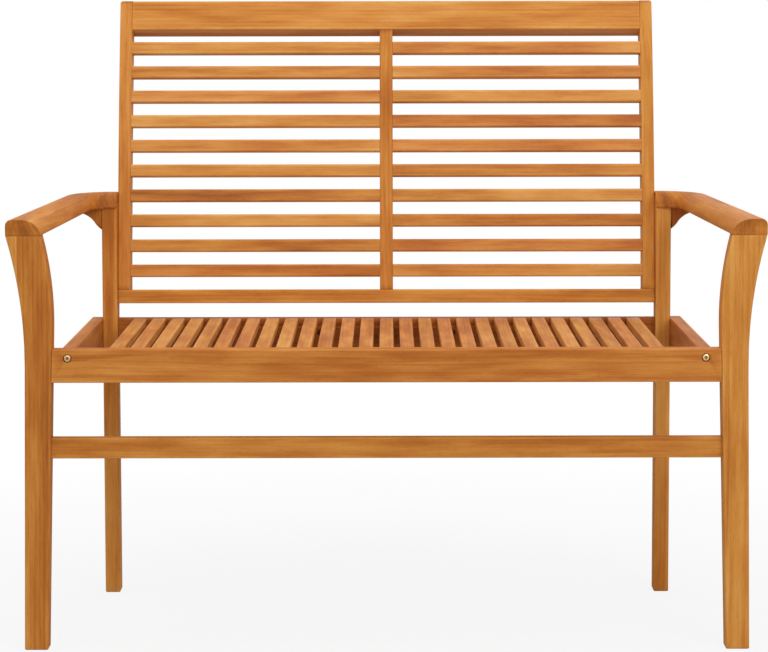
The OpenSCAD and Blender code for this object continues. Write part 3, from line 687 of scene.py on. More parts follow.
def front_leg(side, label):
    """A front leg on the side 1 (right) or -1 (left)."""
    def outline(z, inset):
        return rounded(edge_at(OUTER, z) - edge_at(INNER, z), FRONT_DEPTH, FRONT_ROUND, inset)

    def place(z, v, w):
        depth = FRONT_DEPTH / 2 + w
        rise = depth * math.tan(ARM_SLOPE) * z / ARM_HEIGHT
        return at(side * ((edge_at(OUTER, z) + edge_at(INNER, z)) / 2 + v), depth, z + rise)
    stations = eased(0, ARM_HEIGHT - TOP_GAP, (FOOT_CHAMFER, TOP_EASE), LEG_HEIGHTS)
    return stick("leg_front_" + label, stations, outline, place)


for side, label in SIDES:
    finish_wood(front_leg(side, label), "z", "front_leg_" + label, **LEG_LOOKS[label])

# %% [markdown]
# ## Rear legs
# The rear legs are plain straight posts between the side rails and the back. Two bolts on each side
# go through them into the back, and each head sits in a recess in the leg's outer face. The bolts
# lie in gaps between the back's slats, half way into the depth that stile and leg share.

# %% Rear legs
BOLT_GAPS = (0, 2)
REAR_ROUND = 2.5
# The right leg's strong drift makes its upper end paler: painted light against the shade under the armrest.
REAR_LEG_LOOKS = {"right": {"tone": 0.64, "drift": 0.24}, "left": {"tone": 0.61, "drift": 0.02}}


def back_bolt_place(gap):
    """The depth and height of a back bolt."""
    s = BOTTOM_RAIL + gap * ROW_PITCH + SLAT_GAP / 2
    lean = lean_at(s)
    face = back_centre[0] - BACK_RADIUS * math.cos(lean)
    into = (REAR_BACK - face) / 2 / math.cos(lean)
    return face + into * math.cos(lean), back_centre[1] + (BACK_RADIUS - into) * math.sin(lean)


back_bolts = [back_bolt_place(gap) for gap in BOLT_GAPS]
rear_top = ARM_HEIGHT + (LEG_SETBACK + REAR_LEG_DEPTH / 2) * math.tan(ARM_SLOPE) - TOP_GAP
for side, label in SIDES:
    leg = bar("leg_rear_" + label, "z", (side * rear_inner, LEG_SETBACK, 0),
              (side * rear_outer, REAR_BACK, rear_top), REAR_ROUND, (FOOT_CHAMFER, TOP_EASE))
    for depth, height in back_bolts:
        drill(leg, (side * rear_outer, depth, height), (-side, 0, 0))
    finish_wood(leg, "z", "rear_leg_" + label, **REAR_LEG_LOOKS[label])

# %% [markdown]
# ## Armrests
# An armrest starts as wide as the top of the front leg, toes in towards the back, rises a little,
# and bends inwards onto the rear leg. Its outer top edge is rounded, and its top falls away in a dome
# on the inner side. The same section is carried along stations on the line and the bend.

# %% Armrests
ARM = {"thick": 24, "rear_width": 43, "bend": 55, "outer_round": 9, "reach": 29, "drop": 22, "under": 1.6,
       "ease": 0.6, "over_leg": 4.7}
arm_front_x = (edge_at(OUTER, ARM_HEIGHT) + edge_at(INNER, ARM_HEIGHT)) / 2
arm_front_width = edge_at(OUTER, ARM_HEIGHT) - edge_at(INNER, ARM_HEIGHT)
bend_x = rear_inner + ARM["over_leg"]
bend_depth = REAR_BACK - ARM["rear_width"] / 2 - ARM["bend"]
bend_run = math.hypot(arm_front_x - bend_x, bend_depth)
arm_toe = math.atan2(arm_front_x - bend_x, bend_depth) - math.asin(ARM["bend"] / bend_run)
print("the armrests toe in by", round(math.degrees(arm_toe), 2), "degrees")


def arm_outline(width):
    """The armrest's section as (across, up, edge), with outwards positive."""
    half, thick, under = width / 2, ARM["thick"], ARM["under"]
    points = [(-half + under + 2, 0, 0.0), (half - under - 2, 0, 0.0)]
    for a in (math.radians(30 * i) for i in range(4)):
        points.append((half - under * (1 - math.sin(a)), under * (1 - math.cos(a)), 1.0))
    for a in (math.radians(90 * i / 8) for i in range(9)):
        points.append((half - ARM["outer_round"] * (1 - math.cos(a)),
                       thick - ARM["outer_round"] * (1 - math.sin(a)), math.sin(2 * a)))
    for i in range(15):
        a = math.radians(90 + 90 * i / 14)
        points.append((-half + ARM["reach"] * (1 + math.cos(a)),
                       thick - ARM["drop"] * (1 - math.sin(a)), 0.6 if i > 12 else 0.0))
    for a in (math.radians(30 * i) for i in range(1, 4)):
        points.append((-half + under * (1 - math.cos(a)), under * (1 - math.sin(a)), 1.0))
    return points


def arm_stations():
    """Stations along the armrest's line and bend as (x, depth, angle, width)."""
    def on_bend(a):
        return (bend_x + ARM["bend"] * math.cos(a), bend_depth + ARM["bend"] * math.sin(a), a,
                ARM["rear_width"])
    start_x, start_depth = on_bend(arm_toe)[:2]
    line = [(arm_front_x + f * (start_x - arm_front_x), f * start_depth, f * arm_toe,
             arm_front_width + f * (ARM["rear_width"] - arm_front_width))
            for f in (i / 10 for i in range(11))]
    return line + [on_bend(arm_toe + (math.pi / 2 - arm_toe) * i / 24) for i in range(1, 24)]


def armrest(side, label):
    """An armrest on the side 1 (right) or -1 (left)."""
    def ring(x, depth, angle, width, inset=0, end_edge=0.0):
        points = []
        for across, up, edge in arm_outline(width):
            across *= 1 - 2 * inset / width
            up = ARM["thick"] / 2 + (up - ARM["thick"] / 2) * (1 - 2 * inset / ARM["thick"])
            back = depth + across * math.sin(angle)
            points.append((at(side * (x + across * math.cos(angle)), back,
                              ARM_HEIGHT + back * math.tan(ARM_SLOPE) + up), max(edge, end_edge)))
        return points
    (x, depth, angle, width), *rest = arm_stations()
    steps = ease_steps(ARM["ease"])
    return skin("arm_" + label, [
        *(ring(x, way, angle, width, inset, edge) for way, inset, edge in steps),
        ring(x, ARM["ease"] + EDGE_FADE, angle, width),
        *(ring(*station) for station in rest),
        *(ring(rear_inner + way, bend_depth + ARM["bend"], math.pi / 2, ARM["rear_width"], inset, edge)
          for way, inset, edge in steps[::-1])])


for side, label in SIDES:
    finish_wood(armrest(side, label), "y", "armrest_" + label, tone=0.50, drift=-0.20, turn=-side * arm_toe)

# %% [markdown]
# ## Ogee brackets
# Under each armrest, on the rear leg's outer face, a small bracket is sawn to an S curve: a round
# lobe near the leg, then a hollow that runs out under the arm. The outline is two arcs, and the
# piece is that outline carried through its thickness with eased edges.

# %% Brackets
BRACKET = {"reach": 33, "drop": 35, "thick": 14, "inset": 2.5}
LOBE_SHARE, TIP_SHARE, LOBE_ROUND = 0.37, 0.76, 1.2
BRACKET_EASE = [(0, 2.2, 0.0), (0, 0.9, 1.0), (0.3, 0.3, 1.0), (0.9, 0, 1.0), (3, 0, 0.0)]


def arc_between(p, q, radius, steps):
    """Points on the circle through p and q whose centre is on the left of the way from p to q."""
    (px, pz), (qx, qz) = p, q
    half = math.hypot(qx - px, qz - pz) / 2
    way = ((qx - px) / (2 * half), (qz - pz) / (2 * half))
    rise = math.sqrt(radius ** 2 - half ** 2)
    cx, cz = (px + qx) / 2 - rise * way[1], (pz + qz) / 2 + rise * way[0]
    a, b = math.atan2(pz - cz, px - cx), math.atan2(qz - cz, qx - cx)
    if abs(b - a) > math.pi:
        b -= math.copysign(2 * math.pi, b - a)
    turns = [a + (b - a) * i / steps for i in range(steps + 1)]
    return [(cx + radius * math.cos(turn), cz + radius * math.sin(turn)) for turn in turns]


def bracket_outline(top):
    """The bracket's outline from the leg's face, as (out, up) points from its lowest corner."""
    turn = (BRACKET["reach"] * LOBE_SHARE, BRACKET["drop"] * LOBE_SHARE)
    tip = (BRACKET["reach"], BRACKET["drop"] * TIP_SHARE)
    radius = BRACKET["reach"] * LOBE_ROUND
    hollow = arc_between(tip, turn, radius, 8)[::-1]
    return arc_between((0, 0), turn, radius, 8) + hollow[1:] + [(tip[0], top), (0, top)]


def inset_outline(points, inset):
    """The outline drawn in by a distance along its own normals."""
    result = []
    for i, (x, z) in enumerate(points):
        before, after = points[i - 1], points[(i + 1) % len(points)]
        a = Vector((x - before[0], z - before[1])).normalized()
        b = Vector((after[0] - x, after[1] - z)).normalized()
        normal = Vector((-a.y - b.y, a.x + b.x))
        normal /= max(normal.length_squared / 2, 0.5)
        result.append((x + normal.x * inset, z + normal.y * inset))
    return result


def bracket(side, label):
    """The bracket on the side 1 (right) or -1 (left)."""
    near, thick = LEG_SETBACK + BRACKET["inset"], BRACKET["thick"]
    base = ARM_HEIGHT + (near + thick / 2) * math.tan(ARM_SLOPE) - BRACKET["drop"]
    rings = []
    for depth, inset, edge in BRACKET_EASE + [(thick - way, *rest) for way, *rest in BRACKET_EASE[::-1]]:
        top = ARM_HEIGHT + (near + depth) * math.tan(ARM_SLOPE) - base
        rings.append([(at(side * (rear_outer + x), near + depth, base + z), edge)
                      for x, z in inset_outline(bracket_outline(top), inset)])
    return skin("bracket_" + label, rings)


for side, label in SIDES:
    # The bracket's dark tone is painted shade under the armrest.
    finish_wood(bracket(side, label), "z", "arm_bracket_" + label, tone=0.38)

# %% [markdown]
# ## Rails
# The seat's frame is four rails of the same height. The front rail and the stretcher end on the
# sloping inner edges of the front legs, so their ends are cut to follow them. A bolt near each end of
# the front rail draws the side rail up against it, and one at each rear corner does the same there.

# %% Rails and stretcher
FRONT_RAIL, REAR_RAIL = (0, 28), (446, 466)
STRETCHER_DEPTHS, STRETCHER_HEIGHTS = (8, 28), (284.5, 315.1)
RAIL_ROUND, RAIL_EASE, REAR_END_EASE = 1.6, 0.35, 1.5
RAIL_STATIONS = (-300, -100, 100, 300)
HAIR = 0.1
NUT_FROM_JOINT, BOLT_BELOW_SEAT = 30, 13
front_nut_depth, front_bolt_height = FRONT_RAIL[1] + NUT_FROM_JOINT, SEAT_HEIGHT - BOLT_BELOW_SEAT
corner_nut_x, corner_depth = rear_inner - NUT_FROM_JOINT, sum(REAR_RAIL) / 2
rail_middle = (RAIL_BOTTOM + SEAT_HEIGHT) / 2


def between_legs(name, depths, heights):
    """A bar from leg to leg whose ends follow the legs' inner edges."""
    middle_depth, middle_z = sum(depths) / 2, sum(heights) / 2
    half = edge_at(INNER, middle_z)

    def place(u, v, w):
        return at(u * edge_at(INNER, middle_z + w) / half, middle_depth + v, middle_z + w)
    return stick(name, eased(-half, half, (RAIL_EASE, RAIL_EASE), RAIL_STATIONS),
                 box_outline(depths[1] - depths[0], heights[1] - heights[0], RAIL_ROUND), place)


front_rail = between_legs("rail_front", FRONT_RAIL, (RAIL_BOTTOM, SEAT_HEIGHT))
for side, _ in SIDES:
    drill(front_rail, (side * side_rail_middle, 0, front_bolt_height), (0, 1, 0))
finish_wood(front_rail, "x", "front_rail", tone=0.57)
stretcher = between_legs("stretcher", STRETCHER_DEPTHS, STRETCHER_HEIGHTS)
finish_wood(stretcher, "x", "front_stretcher", tone=0.60)

for side, label in SIDES:
    rail = bar("rail_side_" + label, "y", (side * rear_outer, FRONT_RAIL[1], RAIL_BOTTOM),
               (side * side_rail_outer, REAR_BACK, SEAT_HEIGHT), RAIL_ROUND, (RAIL_EASE, REAR_END_EASE))
    drill(rail, (side * side_rail_outer, corner_depth, rail_middle), (-side, 0, 0))
    drill(rail, (side * rear_outer, front_nut_depth, front_bolt_height), (side, 0, 0),
          NUT_HOLE_DEPTH, NUT_HOLE)
    finish_wood(rail, "y", "seat_side_rail_" + label, tone=0.50)

rear_rail = bar("rail_rear", "x", (-rear_inner - HAIR, REAR_RAIL[0], RAIL_BOTTOM),
                (rear_inner + HAIR, REAR_RAIL[1], SEAT_HEIGHT), RAIL_ROUND)
for side, _ in SIDES:
    drill(rear_rail, (side * corner_nut_x, REAR_RAIL[1], rail_middle), (0, -1, 0), NUT_HOLE_DEPTH, NUT_HOLE)
# The rear rail's darker tone is painted shade, where the seat's gaps look down onto it.
finish_wood(rear_rail, "x", "rear_rail", tone=0.42)

# %% [markdown]
# ## Cleats and bearer
# Two square cleats inside the front and rear rails carry the slats, and a bearer under the middle of
# the seat stops them from sagging. They show only through the gaps and from below, and their dark
# tones are painted shade under the slats.

# %% Cleats and bearer
SEAT_SLATS, SEAT_SLAT_WIDTH, SEAT_SLAT_THICK = 27, 21, 12.5
CLEAT, CLEAT_REACH, CLEAT_ROUND = 18, 3.5, 0.8
BEARER_HALF, BEARER_HEIGHT, BEARER_ROUND = 12, 34, 1.0
NOTCH_HALF, NOTCH_OVER, SLATS_FROM_LEGS = 20, 2, 25
slat_bottom = SEAT_HEIGHT - SEAT_SLAT_THICK
slat_field = 2 * (rear_inner - SLATS_FROM_LEGS)
cleat_half = slat_field / 2 + CLEAT_REACH
cleat_places = ((FRONT_RAIL[1], FRONT_RAIL[1] + CLEAT), (REAR_RAIL[0] - CLEAT, REAR_RAIL[0]))


def joined(name, pieces):
    """One object from several."""
    shape = bmesh.new()
    for piece in pieces:
        shape.from_mesh(piece.data)
        bpy.data.objects.remove(piece)
    return from_shape(name, shape)


cleats = joined("cleats", [bar("cleat", "x", (-cleat_half, near, slat_bottom - CLEAT),
                               (cleat_half, far, slat_bottom), CLEAT_ROUND, (CLEAT_ROUND, CLEAT_ROUND))
                           for near, far in cleat_places])
# The cleats' dark tone is painted shade under the slats.
finish_wood(cleats, "x", "seat_cleats", tone=0.36)

bearer = bar("bearer", "y", (-BEARER_HALF, FRONT_RAIL[1], slat_bottom - BEARER_HEIGHT),
             (BEARER_HALF, REAR_RAIL[0], slat_bottom), BEARER_ROUND)
for (near, far), (before, behind) in zip(cleat_places, ((NOTCH_OVER, 0), (0, NOTCH_OVER))):
    carve(bearer, bar("notch", "x", (-NOTCH_HALF, near - before, slat_bottom - CLEAT),
                      (NOTCH_HALF, far + behind, slat_bottom + NOTCH_OVER), LEAST_ROUND,
                      (LEAST_ROUND, LEAST_ROUND)))
# The bearer's dark tone is painted shade under the slats.
finish_wood(bearer, "y", "centre_bearer", tone=0.34)
print("the seat's slats cover", round(slat_field, 1), "mm")

# %% [markdown]
# ## Seat slats
# Twenty-seven equal slats run from the front rail to the rear rail at an even pitch: the very thing
# that Geometry Nodes do best. The tree sweeps one slat, puts a copy on each point of a line, and
# gives each its own random numbers before the copies are made real.

# %% The seat slat tree


def lucky(tree, seed, low, high):
    """A random number for each copy."""
    return made(tree, "FunctionNodeRandomValue", {2: low, 3: high, "Seed": seed}, 1, data_type="FLOAT")


def own_numbers(copies, seed):
    """Gives every copy its own pattern and tone."""
    for label, low, high, shift in (("stick", 0.0, 1.0, 0.0), ("tone", -1.0, 1.0, 7.0),
                                    ("sap", 0.085, 0.20, 19.0)):
        copies = store(copies, label, lucky(copies.tree, seed + shift, low, high), "FLOAT", "INSTANCE")
    pith = made(copies.tree, "FunctionNodeRandomValue", {
        0: (0.0, 0.035, -0.05), 1: (0.0, 0.085, 0.05), "Seed": seed + 31.0}, data_type="FLOAT_VECTOR")
    return store(copies, "pith", pith, "FLOAT_VECTOR", "INSTANCE")


SECTION = {"Float": "Length, Width, Height, Rounding", "Material": "Finish"}
t, given, end = geometry_tree("seat slats", {
    "Int": "Count, Seed", "Vector": "Start", **SECTION, "Float": SECTION["Float"] + ", Pitch"})
slat_tree = t
body = rounded_bar(given, (0.0, 0.0, 0.0), combined(t, Y=given["Length"]))
spot = position(t).parts()
body = store(body, "grain", combined(t, X=spot["Y"], Y=spot["X"], Z=spot["Z"]))
points = made(t, "GeometryNodeMeshLine", {"Count": given["Count"], "Start Location": given["Start"],
                                          "Offset": combined(t, X=given["Pitch"])})
copies = made(t, "GeometryNodeInstanceOnPoints", {"Points": points, "Instance": body})
end_tree(end, own_numbers(copies, given["Seed"]), given["Finish"])

# %% Grow the seat slats
SEAT_LENGTH, SEAT_ROUND, SEAT_SEED = REAR_RAIL[0] - FRONT_RAIL[1] - 2 * PLAY, 2, 3


def read_floats(mesh, name, width=1):
    """All of an attribute's numbers."""
    layer = mesh.attributes[name].data
    values = [0.0] * (len(layer) * width)
    layer.foreach_get("vector" if width == 3 else "value", values)
    return values


def finish_slats(piece, node, count, section, tone, spread):
    """Marks the edges of grown slats, spreads their tones about one value and hands them over."""
    mesh = piece.data
    width, height, r = section
    grain, pith = read_floats(mesh, "grain", 3), read_floats(mesh, "pith", 3)
    edge = []
    for i in range(0, len(grain), 3):
        inside = (width / 2 * MM - abs(grain[i + 1])) + (height / 2 * MM - abs(grain[i + 2])) - r * MM
        edge.append(min(max(1 - inside / (EDGE_FADE * MM), 0), 1))
    mesh.attributes["grain"].data.foreach_set("vector", [a + b for a, b in zip(grain, pith)])
    mesh.attributes.remove(mesh.attributes["pith"])
    set_float(mesh, "edge", edge)
    set_float(mesh, "across", [0.0] * len(edge))
    set_float(mesh, "tone", [tone + spread * value for value in read_floats(mesh, "tone")])
    hand_over(piece, [f"{node}_{i:02d}" for i in range(1, count + 1)], TEAK_SLATS)


seat_section = (SEAT_SLAT_WIDTH, SEAT_SLAT_THICK, SEAT_ROUND)
seat_pitch = (slat_field - SEAT_SLAT_WIDTH) / (SEAT_SLATS - 1)
slat_xs = [-slat_field / 2 + SEAT_SLAT_WIDTH / 2 + i * seat_pitch for i in range(SEAT_SLATS)]
seat = grow("seat_slats", slat_tree, {
    "Count": SEAT_SLATS, "Pitch": seat_pitch * MM, "Length": SEAT_LENGTH * MM, "Width": SEAT_SLAT_WIDTH * MM,
    "Height": SEAT_SLAT_THICK * MM, "Rounding": SEAT_ROUND * MM, "Seed": SEAT_SEED, "Finish": TEAK_SLATS,
    "Start": at(slat_xs[0], FRONT_RAIL[1] + PLAY, SEAT_HEIGHT - SEAT_SLAT_THICK / 2)})
finish_slats(seat, "seat_slat", SEAT_SLATS, seat_section, 0.61, 0.05)
print("the seat's slats have a pitch of", round(seat_pitch, 2), "mm")

# %% [markdown]
# ## Back slats
# Ten rows of slats lie square to the arc of the back, each row in two halves. The tree counts the
# copies: the row gives the lean and with it the place on the circle, and odd and even numbers take
# the right and left halves.

# %% The back slat tree
ARC = {"Vector": "Centre", "Float": "Radius, Lean"}
t, given, end = geometry_tree("back slats", {
    **SECTION, **ARC, "Int": "Rows, Seed",
    "Float": f"{ARC['Float']}, {SECTION['Float']}, First, Pitch, Offset"})
row_tree = t
half_length = given["Length"] * 0.5
body = rounded_bar(given, combined(t, X=half_length * -1.0), combined(t, X=half_length))
body = store(body, "grain", position(t))
number = made(t, "GeometryNodeInputIndex")
row = (number / 2.0).math("FLOOR")
hand = number.math("MODULO", 2.0) * 2.0 - 1.0
lean = given["Lean"] + (given["First"] + row * given["Pitch"]) / given["Radius"]
out = given["Radius"] - given["Width"] * 0.5
from_centre = combined(t, X=hand * given["Offset"], Y=out * -1.0 * lean.math("COSINE"),
                       Z=out * lean.math("SINE"))
points = made(t, "GeometryNodeSetPosition", {
    "Geometry": made(t, "GeometryNodeMeshLine", {"Count": given["Rows"] * 2.0}),
    "Position": given["Centre"].vector("ADD", from_centre)})
copies = made(t, "GeometryNodeInstanceOnPoints", {"Points": points, "Instance": body,
                                                  "Rotation": combined(t, X=lean * -1.0)})
end_tree(end, own_numbers(copies, given["Seed"]), given["Finish"])

# %% Grow the back slats
MUNTIN_WIDTH, BACK_ROUND, BACK_SEED = 21, 2.5, 50
half_row = stile_inner - MUNTIN_WIDTH / 2
arc_values = {"Radius": BACK_RADIUS * MM, "Lean": BACK_LEAN, "Centre": at(0, *back_centre)}
back_slats = grow("back_slats", row_tree, {
    **arc_values, "Rows": ROWS, "First": (BOTTOM_RAIL + ROW_PITCH - SLAT_HEIGHT / 2) * MM,
    "Pitch": ROW_PITCH * MM, "Offset": (MUNTIN_WIDTH / 2 + half_row / 2) * MM, "Length": half_row * MM,
    "Width": SLAT_DEPTH * MM, "Height": SLAT_HEIGHT * MM, "Rounding": BACK_ROUND * MM, "Seed": BACK_SEED,
    "Finish": TEAK_SLATS})
finish_slats(back_slats, "back_slat_row", ROWS, (SLAT_DEPTH, SLAT_HEIGHT, BACK_ROUND), 0.635, 0.10)

# %% [markdown]
# ## Uprights of the back
# The two stiles and the middle upright are the same thing at different widths: a rounded bar bent
# along the circle. The tree sweeps it straight up and then moves each point onto the arc, which is
# the rule of the shape written down once. Holes and the rounded top corners are cut afterwards.

# %% The upright tree
t, given, end = geometry_tree("back uprights", {
    **SECTION, **ARC, "Int": "Steps", "Float": ARC["Float"] + ", X, From, To, Width, Height, Rounding"})
upright_tree = t
body = rounded_bar(given, combined(t, Z=given["From"]), combined(t, Z=given["To"]), given["Steps"])
spot = position(t).parts()
lean = given["Lean"] + spot["Z"] / given["Radius"]
reach = spot["Y"] + given["Height"] * 0.5 - given["Radius"]
bent = combined(t, X=spot["X"] + given["X"], Y=reach * lean.math("COSINE"),
                Z=reach * -1.0 * lean.math("SINE"))
end_tree(end, made(t, "GeometryNodeSetPosition", {
    "Geometry": body, "Position": given["Centre"].vector("ADD", bent)}), given["Finish"])

# %% Grow the uprights
MEAN_LEAN = lean_at(back_length / 2)
JOINT_GAP, UPRIGHT_ROUND, UPRIGHT_STEPS = 0.05, 1.2, 60
TOP_CORNER, OVERLENGTH = 4, 3
CUTTER_DOWN, CUTTER_IN, CUTTER_OUT, CUTTER_DEPTHS = 600, 5, 0.01, (-30, 130)
stile_nut_x, nut_run, nut_start = frame_outer - STILE_WIDTH / 2, 45, 40


def upright(name, x, width, top):
    """An upright of the back, from the bottom rail to a length along the arc."""
    return grow(name, upright_tree, {
        **arc_values, "X": x * MM, "From": (BOTTOM_RAIL + JOINT_GAP) * MM, "To": top * MM,
        "Width": width * MM, "Height": BACK_DEPTH * MM, "Rounding": UPRIGHT_ROUND * MM,
        "Steps": UPRIGHT_STEPS, "Finish": TEAK_FRAME})


def top_cutter(side):
    """The outline of a stile's top with its rounded outer corner, as a solid to keep what is inside."""
    r, top, inner = TOP_CORNER, TOP_RAIL / 2, stile_inner - CUTTER_IN
    outline = [(frame_outer - r + r * math.sin(a), top - r + r * math.cos(a))
               for a in map(math.radians, range(0, 91, 15))]
    outline += [(frame_outer + CUTTER_OUT, -CUTTER_DOWN), (inner, -CUTTER_DOWN), (inner, top)]
    return skin("cutter", [[(on_back(top_rail_place, side * x, y, z), 0.0) for x, z in outline]
                           for y in CUTTER_DEPTHS])


for side, label in SIDES:
    stile = upright("stile_" + label, side * (stile_inner + frame_outer) / 2, STILE_WIDTH,
                    back_length + OVERLENGTH)
    carve(stile, top_cutter(side), "INTERSECT")
    for depth, height in back_bolts:
        drill(stile, (side * stile_nut_x, depth + nut_start, height), (0, -1, 0), nut_run, NUT_HOLE)
    set_float(stile.data, "edge", [0.0] * len(stile.data.vertices))
    finish_wood(stile, "z", "back_stile_" + label, tone={"right": 0.68, "left": 0.65}[label], lean=MEAN_LEAN)
muntin = upright("upright_middle", 0, MUNTIN_WIDTH, back_length - TOP_RAIL - JOINT_GAP)
finish_wood(muntin, "z", "back_muntin", tone=0.57, lean=MEAN_LEAN)

# %% [markdown]
# ## Rails of the back
# The bottom rail runs under the stiles and the tall top rail between them. Each lies square to the
# arc at its own middle, so both are straight bars set down in that tilted frame.

# %% Rails of the back
BACK_RAIL_ROUND, BACK_STATIONS = 2, (-250, 0, 250)
for name, node, s, height, half, tone, ease in (
        ("bottom", "back_bottom_rail", BOTTOM_RAIL / 2, BOTTOM_RAIL, frame_outer, 0.62, 1.2),
        ("top", "back_top_rail", top_rail_place, TOP_RAIL, stile_inner, 0.67, 0.3)):
    rail = stick("back_rail_" + name, eased(-half, half, (ease, ease), BACK_STATIONS),
                 box_outline(BACK_DEPTH, height, BACK_RAIL_ROUND),
                 lambda u, v, w: on_back(s, u, BACK_DEPTH / 2 + v, w))
    finish_wood(rail, "x", node, tone=tone)
print("the back's frame is", 2 * round(frame_outer, 1), "mm wide")

# %% [markdown]
# ## Fasteners
# Bolts, barrel nuts and wood screws are turned parts: an outline spun round an axis. One of each is
# turned here in millimetres, and a tree puts copies on a list of places, turns each to its direction
# and gives it a random twist, as nobody lines up the sockets of bolts.

# %% Turn one of each
ROUND_SIDES, SCREW_SIDES, SOCKET_SIDES = 24, 12, 6


def turned(name, outline, sides):
    """A closed turned solid from (radius, height) points that start and end on the axis."""
    shape = bmesh.new()
    rings = []
    for radius, height in outline:
        turns = [2 * math.pi * i / sides for i in range(sides if radius else 1)]
        rings.append([shape.verts.new((radius * math.cos(a), radius * math.sin(a), height)) for a in turns])
    for low, high in zip(rings, rings[1:]):
        for i in range(sides):
            j = (i + 1) % sides
            corners = [low[i % len(low)], low[j % len(low)], high[j % len(high)], high[i % len(high)]]
            shape.faces.new(list(dict.fromkeys(corners)))
    bmesh.ops.recalc_face_normals(shape, faces=shape.faces)
    return from_shape(name, shape)


def slot_cutter(width, length, depth, z=0):
    """A box that cuts a slot or recess so deep on both sides of a height."""
    shape = bmesh.new()
    bmesh.ops.create_cube(shape, size=1, matrix=Matrix.Diagonal((length, width, depth * 2, 1)))
    for vertex in shape.verts:
        vertex.co.z += z
    return from_shape("cutter", shape)


def bolt(length):
    """A bolt with a socket in its head, which starts at the origin and points up."""
    piece = turned("bolt", [(0, 0), (4.4, 0), (4.85, 0.2), (5, 0.7), (5, 6), (3, 6), (3, length - 0.6),
                            (2.4, length), (0, length)], ROUND_SIDES)
    carve(piece, turned("cutter", [(0, -1), (2.4, -1), (2.4, 2.2), (0, 2.6)], SOCKET_SIDES))
    # The inside of the socket is marked for painted shade.
    set_float(piece.data, "dirt", [float(math.hypot(v.co.x, v.co.y) < 2.5 and 0.05 < v.co.z < 4)
                                   for v in piece.data.vertices])
    return piece


def barrel_nut():
    """A barrel nut along its axis, with a slot across its end."""
    piece = turned("nut", [(0, -5), (4.6, -5), (5, -4.6), (5, 4.6), (4.6, 5), (0, 5)], ROUND_SIDES)
    return carve(piece, slot_cutter(1.4, 12, 1, 5))


def wood_screw():
    """A countersunk screw that points up from its head, with a crossed recess."""
    piece = turned("screw", [(0, 0), (4, 0), (2, 2), (2, 22), (0, 26)], SCREW_SIDES)
    for width, length in ((0.9, 4.4), (4.4, 0.9)):
        carve(piece, slot_cutter(width, length, 1.2))
    return piece


# %% The fastener tree
t, given, end = geometry_tree("set of fasteners", {"Object": "Fastener", "Float": "Size", "Int": "Seed",
                                                   "Material": "Finish"})
set_tree = t
size = given["Size"]
copies = made(t, "GeometryNodeInstanceOnPoints", {
    "Points": given["Geometry"], "Scale": combined(t, X=size, Y=size, Z=size),
    "Instance": made(t, "GeometryNodeObjectInfo", {"Object": given["Fastener"]}, "Geometry"),
    "Rotation": made(t, "GeometryNodeInputNamedAttribute", {"Name": "turn"}, data_type="FLOAT_VECTOR")})
twist = lucky(t, given["Seed"], 0.0, math.pi)
copies = made(t, "GeometryNodeRotateInstances", {
    "Instances": copies, "Rotation": combined(t, Z=twist), "Local Space": True})
end_tree(end, copies, given["Finish"])

# %% [markdown]
# ## Where the fasteners go
# The heads stand at the bottom of their recesses. The three kinds of bolt have different lengths, so
# each kind is its own set, and the sets are joined into the one piece that stands for all the bolts.

# %% Place the fasteners
TURN = {(0, 1, 0): (-math.pi / 2, 0, 0), (0, -1, 0): (math.pi / 2, 0, 0),
        (1, 0, 0): (0, math.pi / 2, 0), (-1, 0, 0): (0, -math.pi / 2, 0), (0, 0, 1): (0, 0, 0)}
HEAD_SUNK = 1
CLEAT_SCREWS = 4


def set_of(name, fastener, spots, seed):
    """Copies of a fastener at places (x, depth, z), each with its direction."""
    piece = grow(name, set_tree, {"Fastener": fastener, "Size": MM, "Seed": seed, "Finish": ZINC},
                 [(at(*spot), TURN[way]) for spot, way in spots])
    bpy.data.objects.remove(fastener)
    return piece


front_bolts, corner_bolts, stile_bolts, rail_nuts, corner_nuts, stile_nuts = [], [], [], [], [], []
for side, _ in SIDES:
    inwards, back = (-side, 0, 0), (0, 1, 0)
    front_bolts.append(((side * side_rail_middle, HEAD_SUNK, front_bolt_height), back))
    corner_bolts.append(((side * (side_rail_outer - HEAD_SUNK), corner_depth, rail_middle), inwards))
    rail_nuts.append(((side * side_rail_middle, front_nut_depth, front_bolt_height), inwards))
    corner_nuts.append(((side * corner_nut_x, corner_depth, rail_middle), back))
    for spot in back_bolts:
        stile_bolts.append(((side * (rear_outer - HEAD_SUNK), *spot), inwards))
        stile_nuts.append(((side * stile_nut_x, *spot), back))
bolts = joined("bolts", [set_of("bolts_" + name, bolt(length), spots, seed) for name, length, spots, seed in (
    ("front", 67, front_bolts, 1), ("corner", 83, corner_bolts, 2), ("back", 39.3, stile_bolts, 3))])
nuts = set_of("nuts", barrel_nut(), rail_nuts + corner_nuts + stile_nuts, 4)

screw_places = [((x, sum(cleat) / 2, slat_bottom - CLEAT), (0, 0, 1))
                for x in slat_xs for cleat in cleat_places]
for k in range(1, CLEAT_SCREWS + 1):
    slat = math.floor(SEAT_SLATS * (k - 0.5) / CLEAT_SCREWS + 0.5) - 1
    x = slat_xs[0] + slat * seat_pitch + seat_pitch / 2
    for depth, way in ((cleat_places[0][1], (0, -1, 0)), (cleat_places[1][0], (0, 1, 0))):
        screw_places.append(((x, depth, slat_bottom - CLEAT / 2), way))
screws = set_of("screws", wood_screw(), screw_places, 5)
for fasteners, node in ((bolts, "frame_bolts"), (nuts, "barrel_nuts"), (screws, "wood_screws")):
    hand_over(fasteners, [node], ZINC)

# %% [markdown]
# ## The studio
# The bench stands on a pale floor in soft light. A wide lamp overhead gives the pale tops, a large
# one in front fills the faces, and two weak ones reach the left side and the back. The camera and
# mirror-like rays see a white room, while the wood itself is lit by a dimmer one.

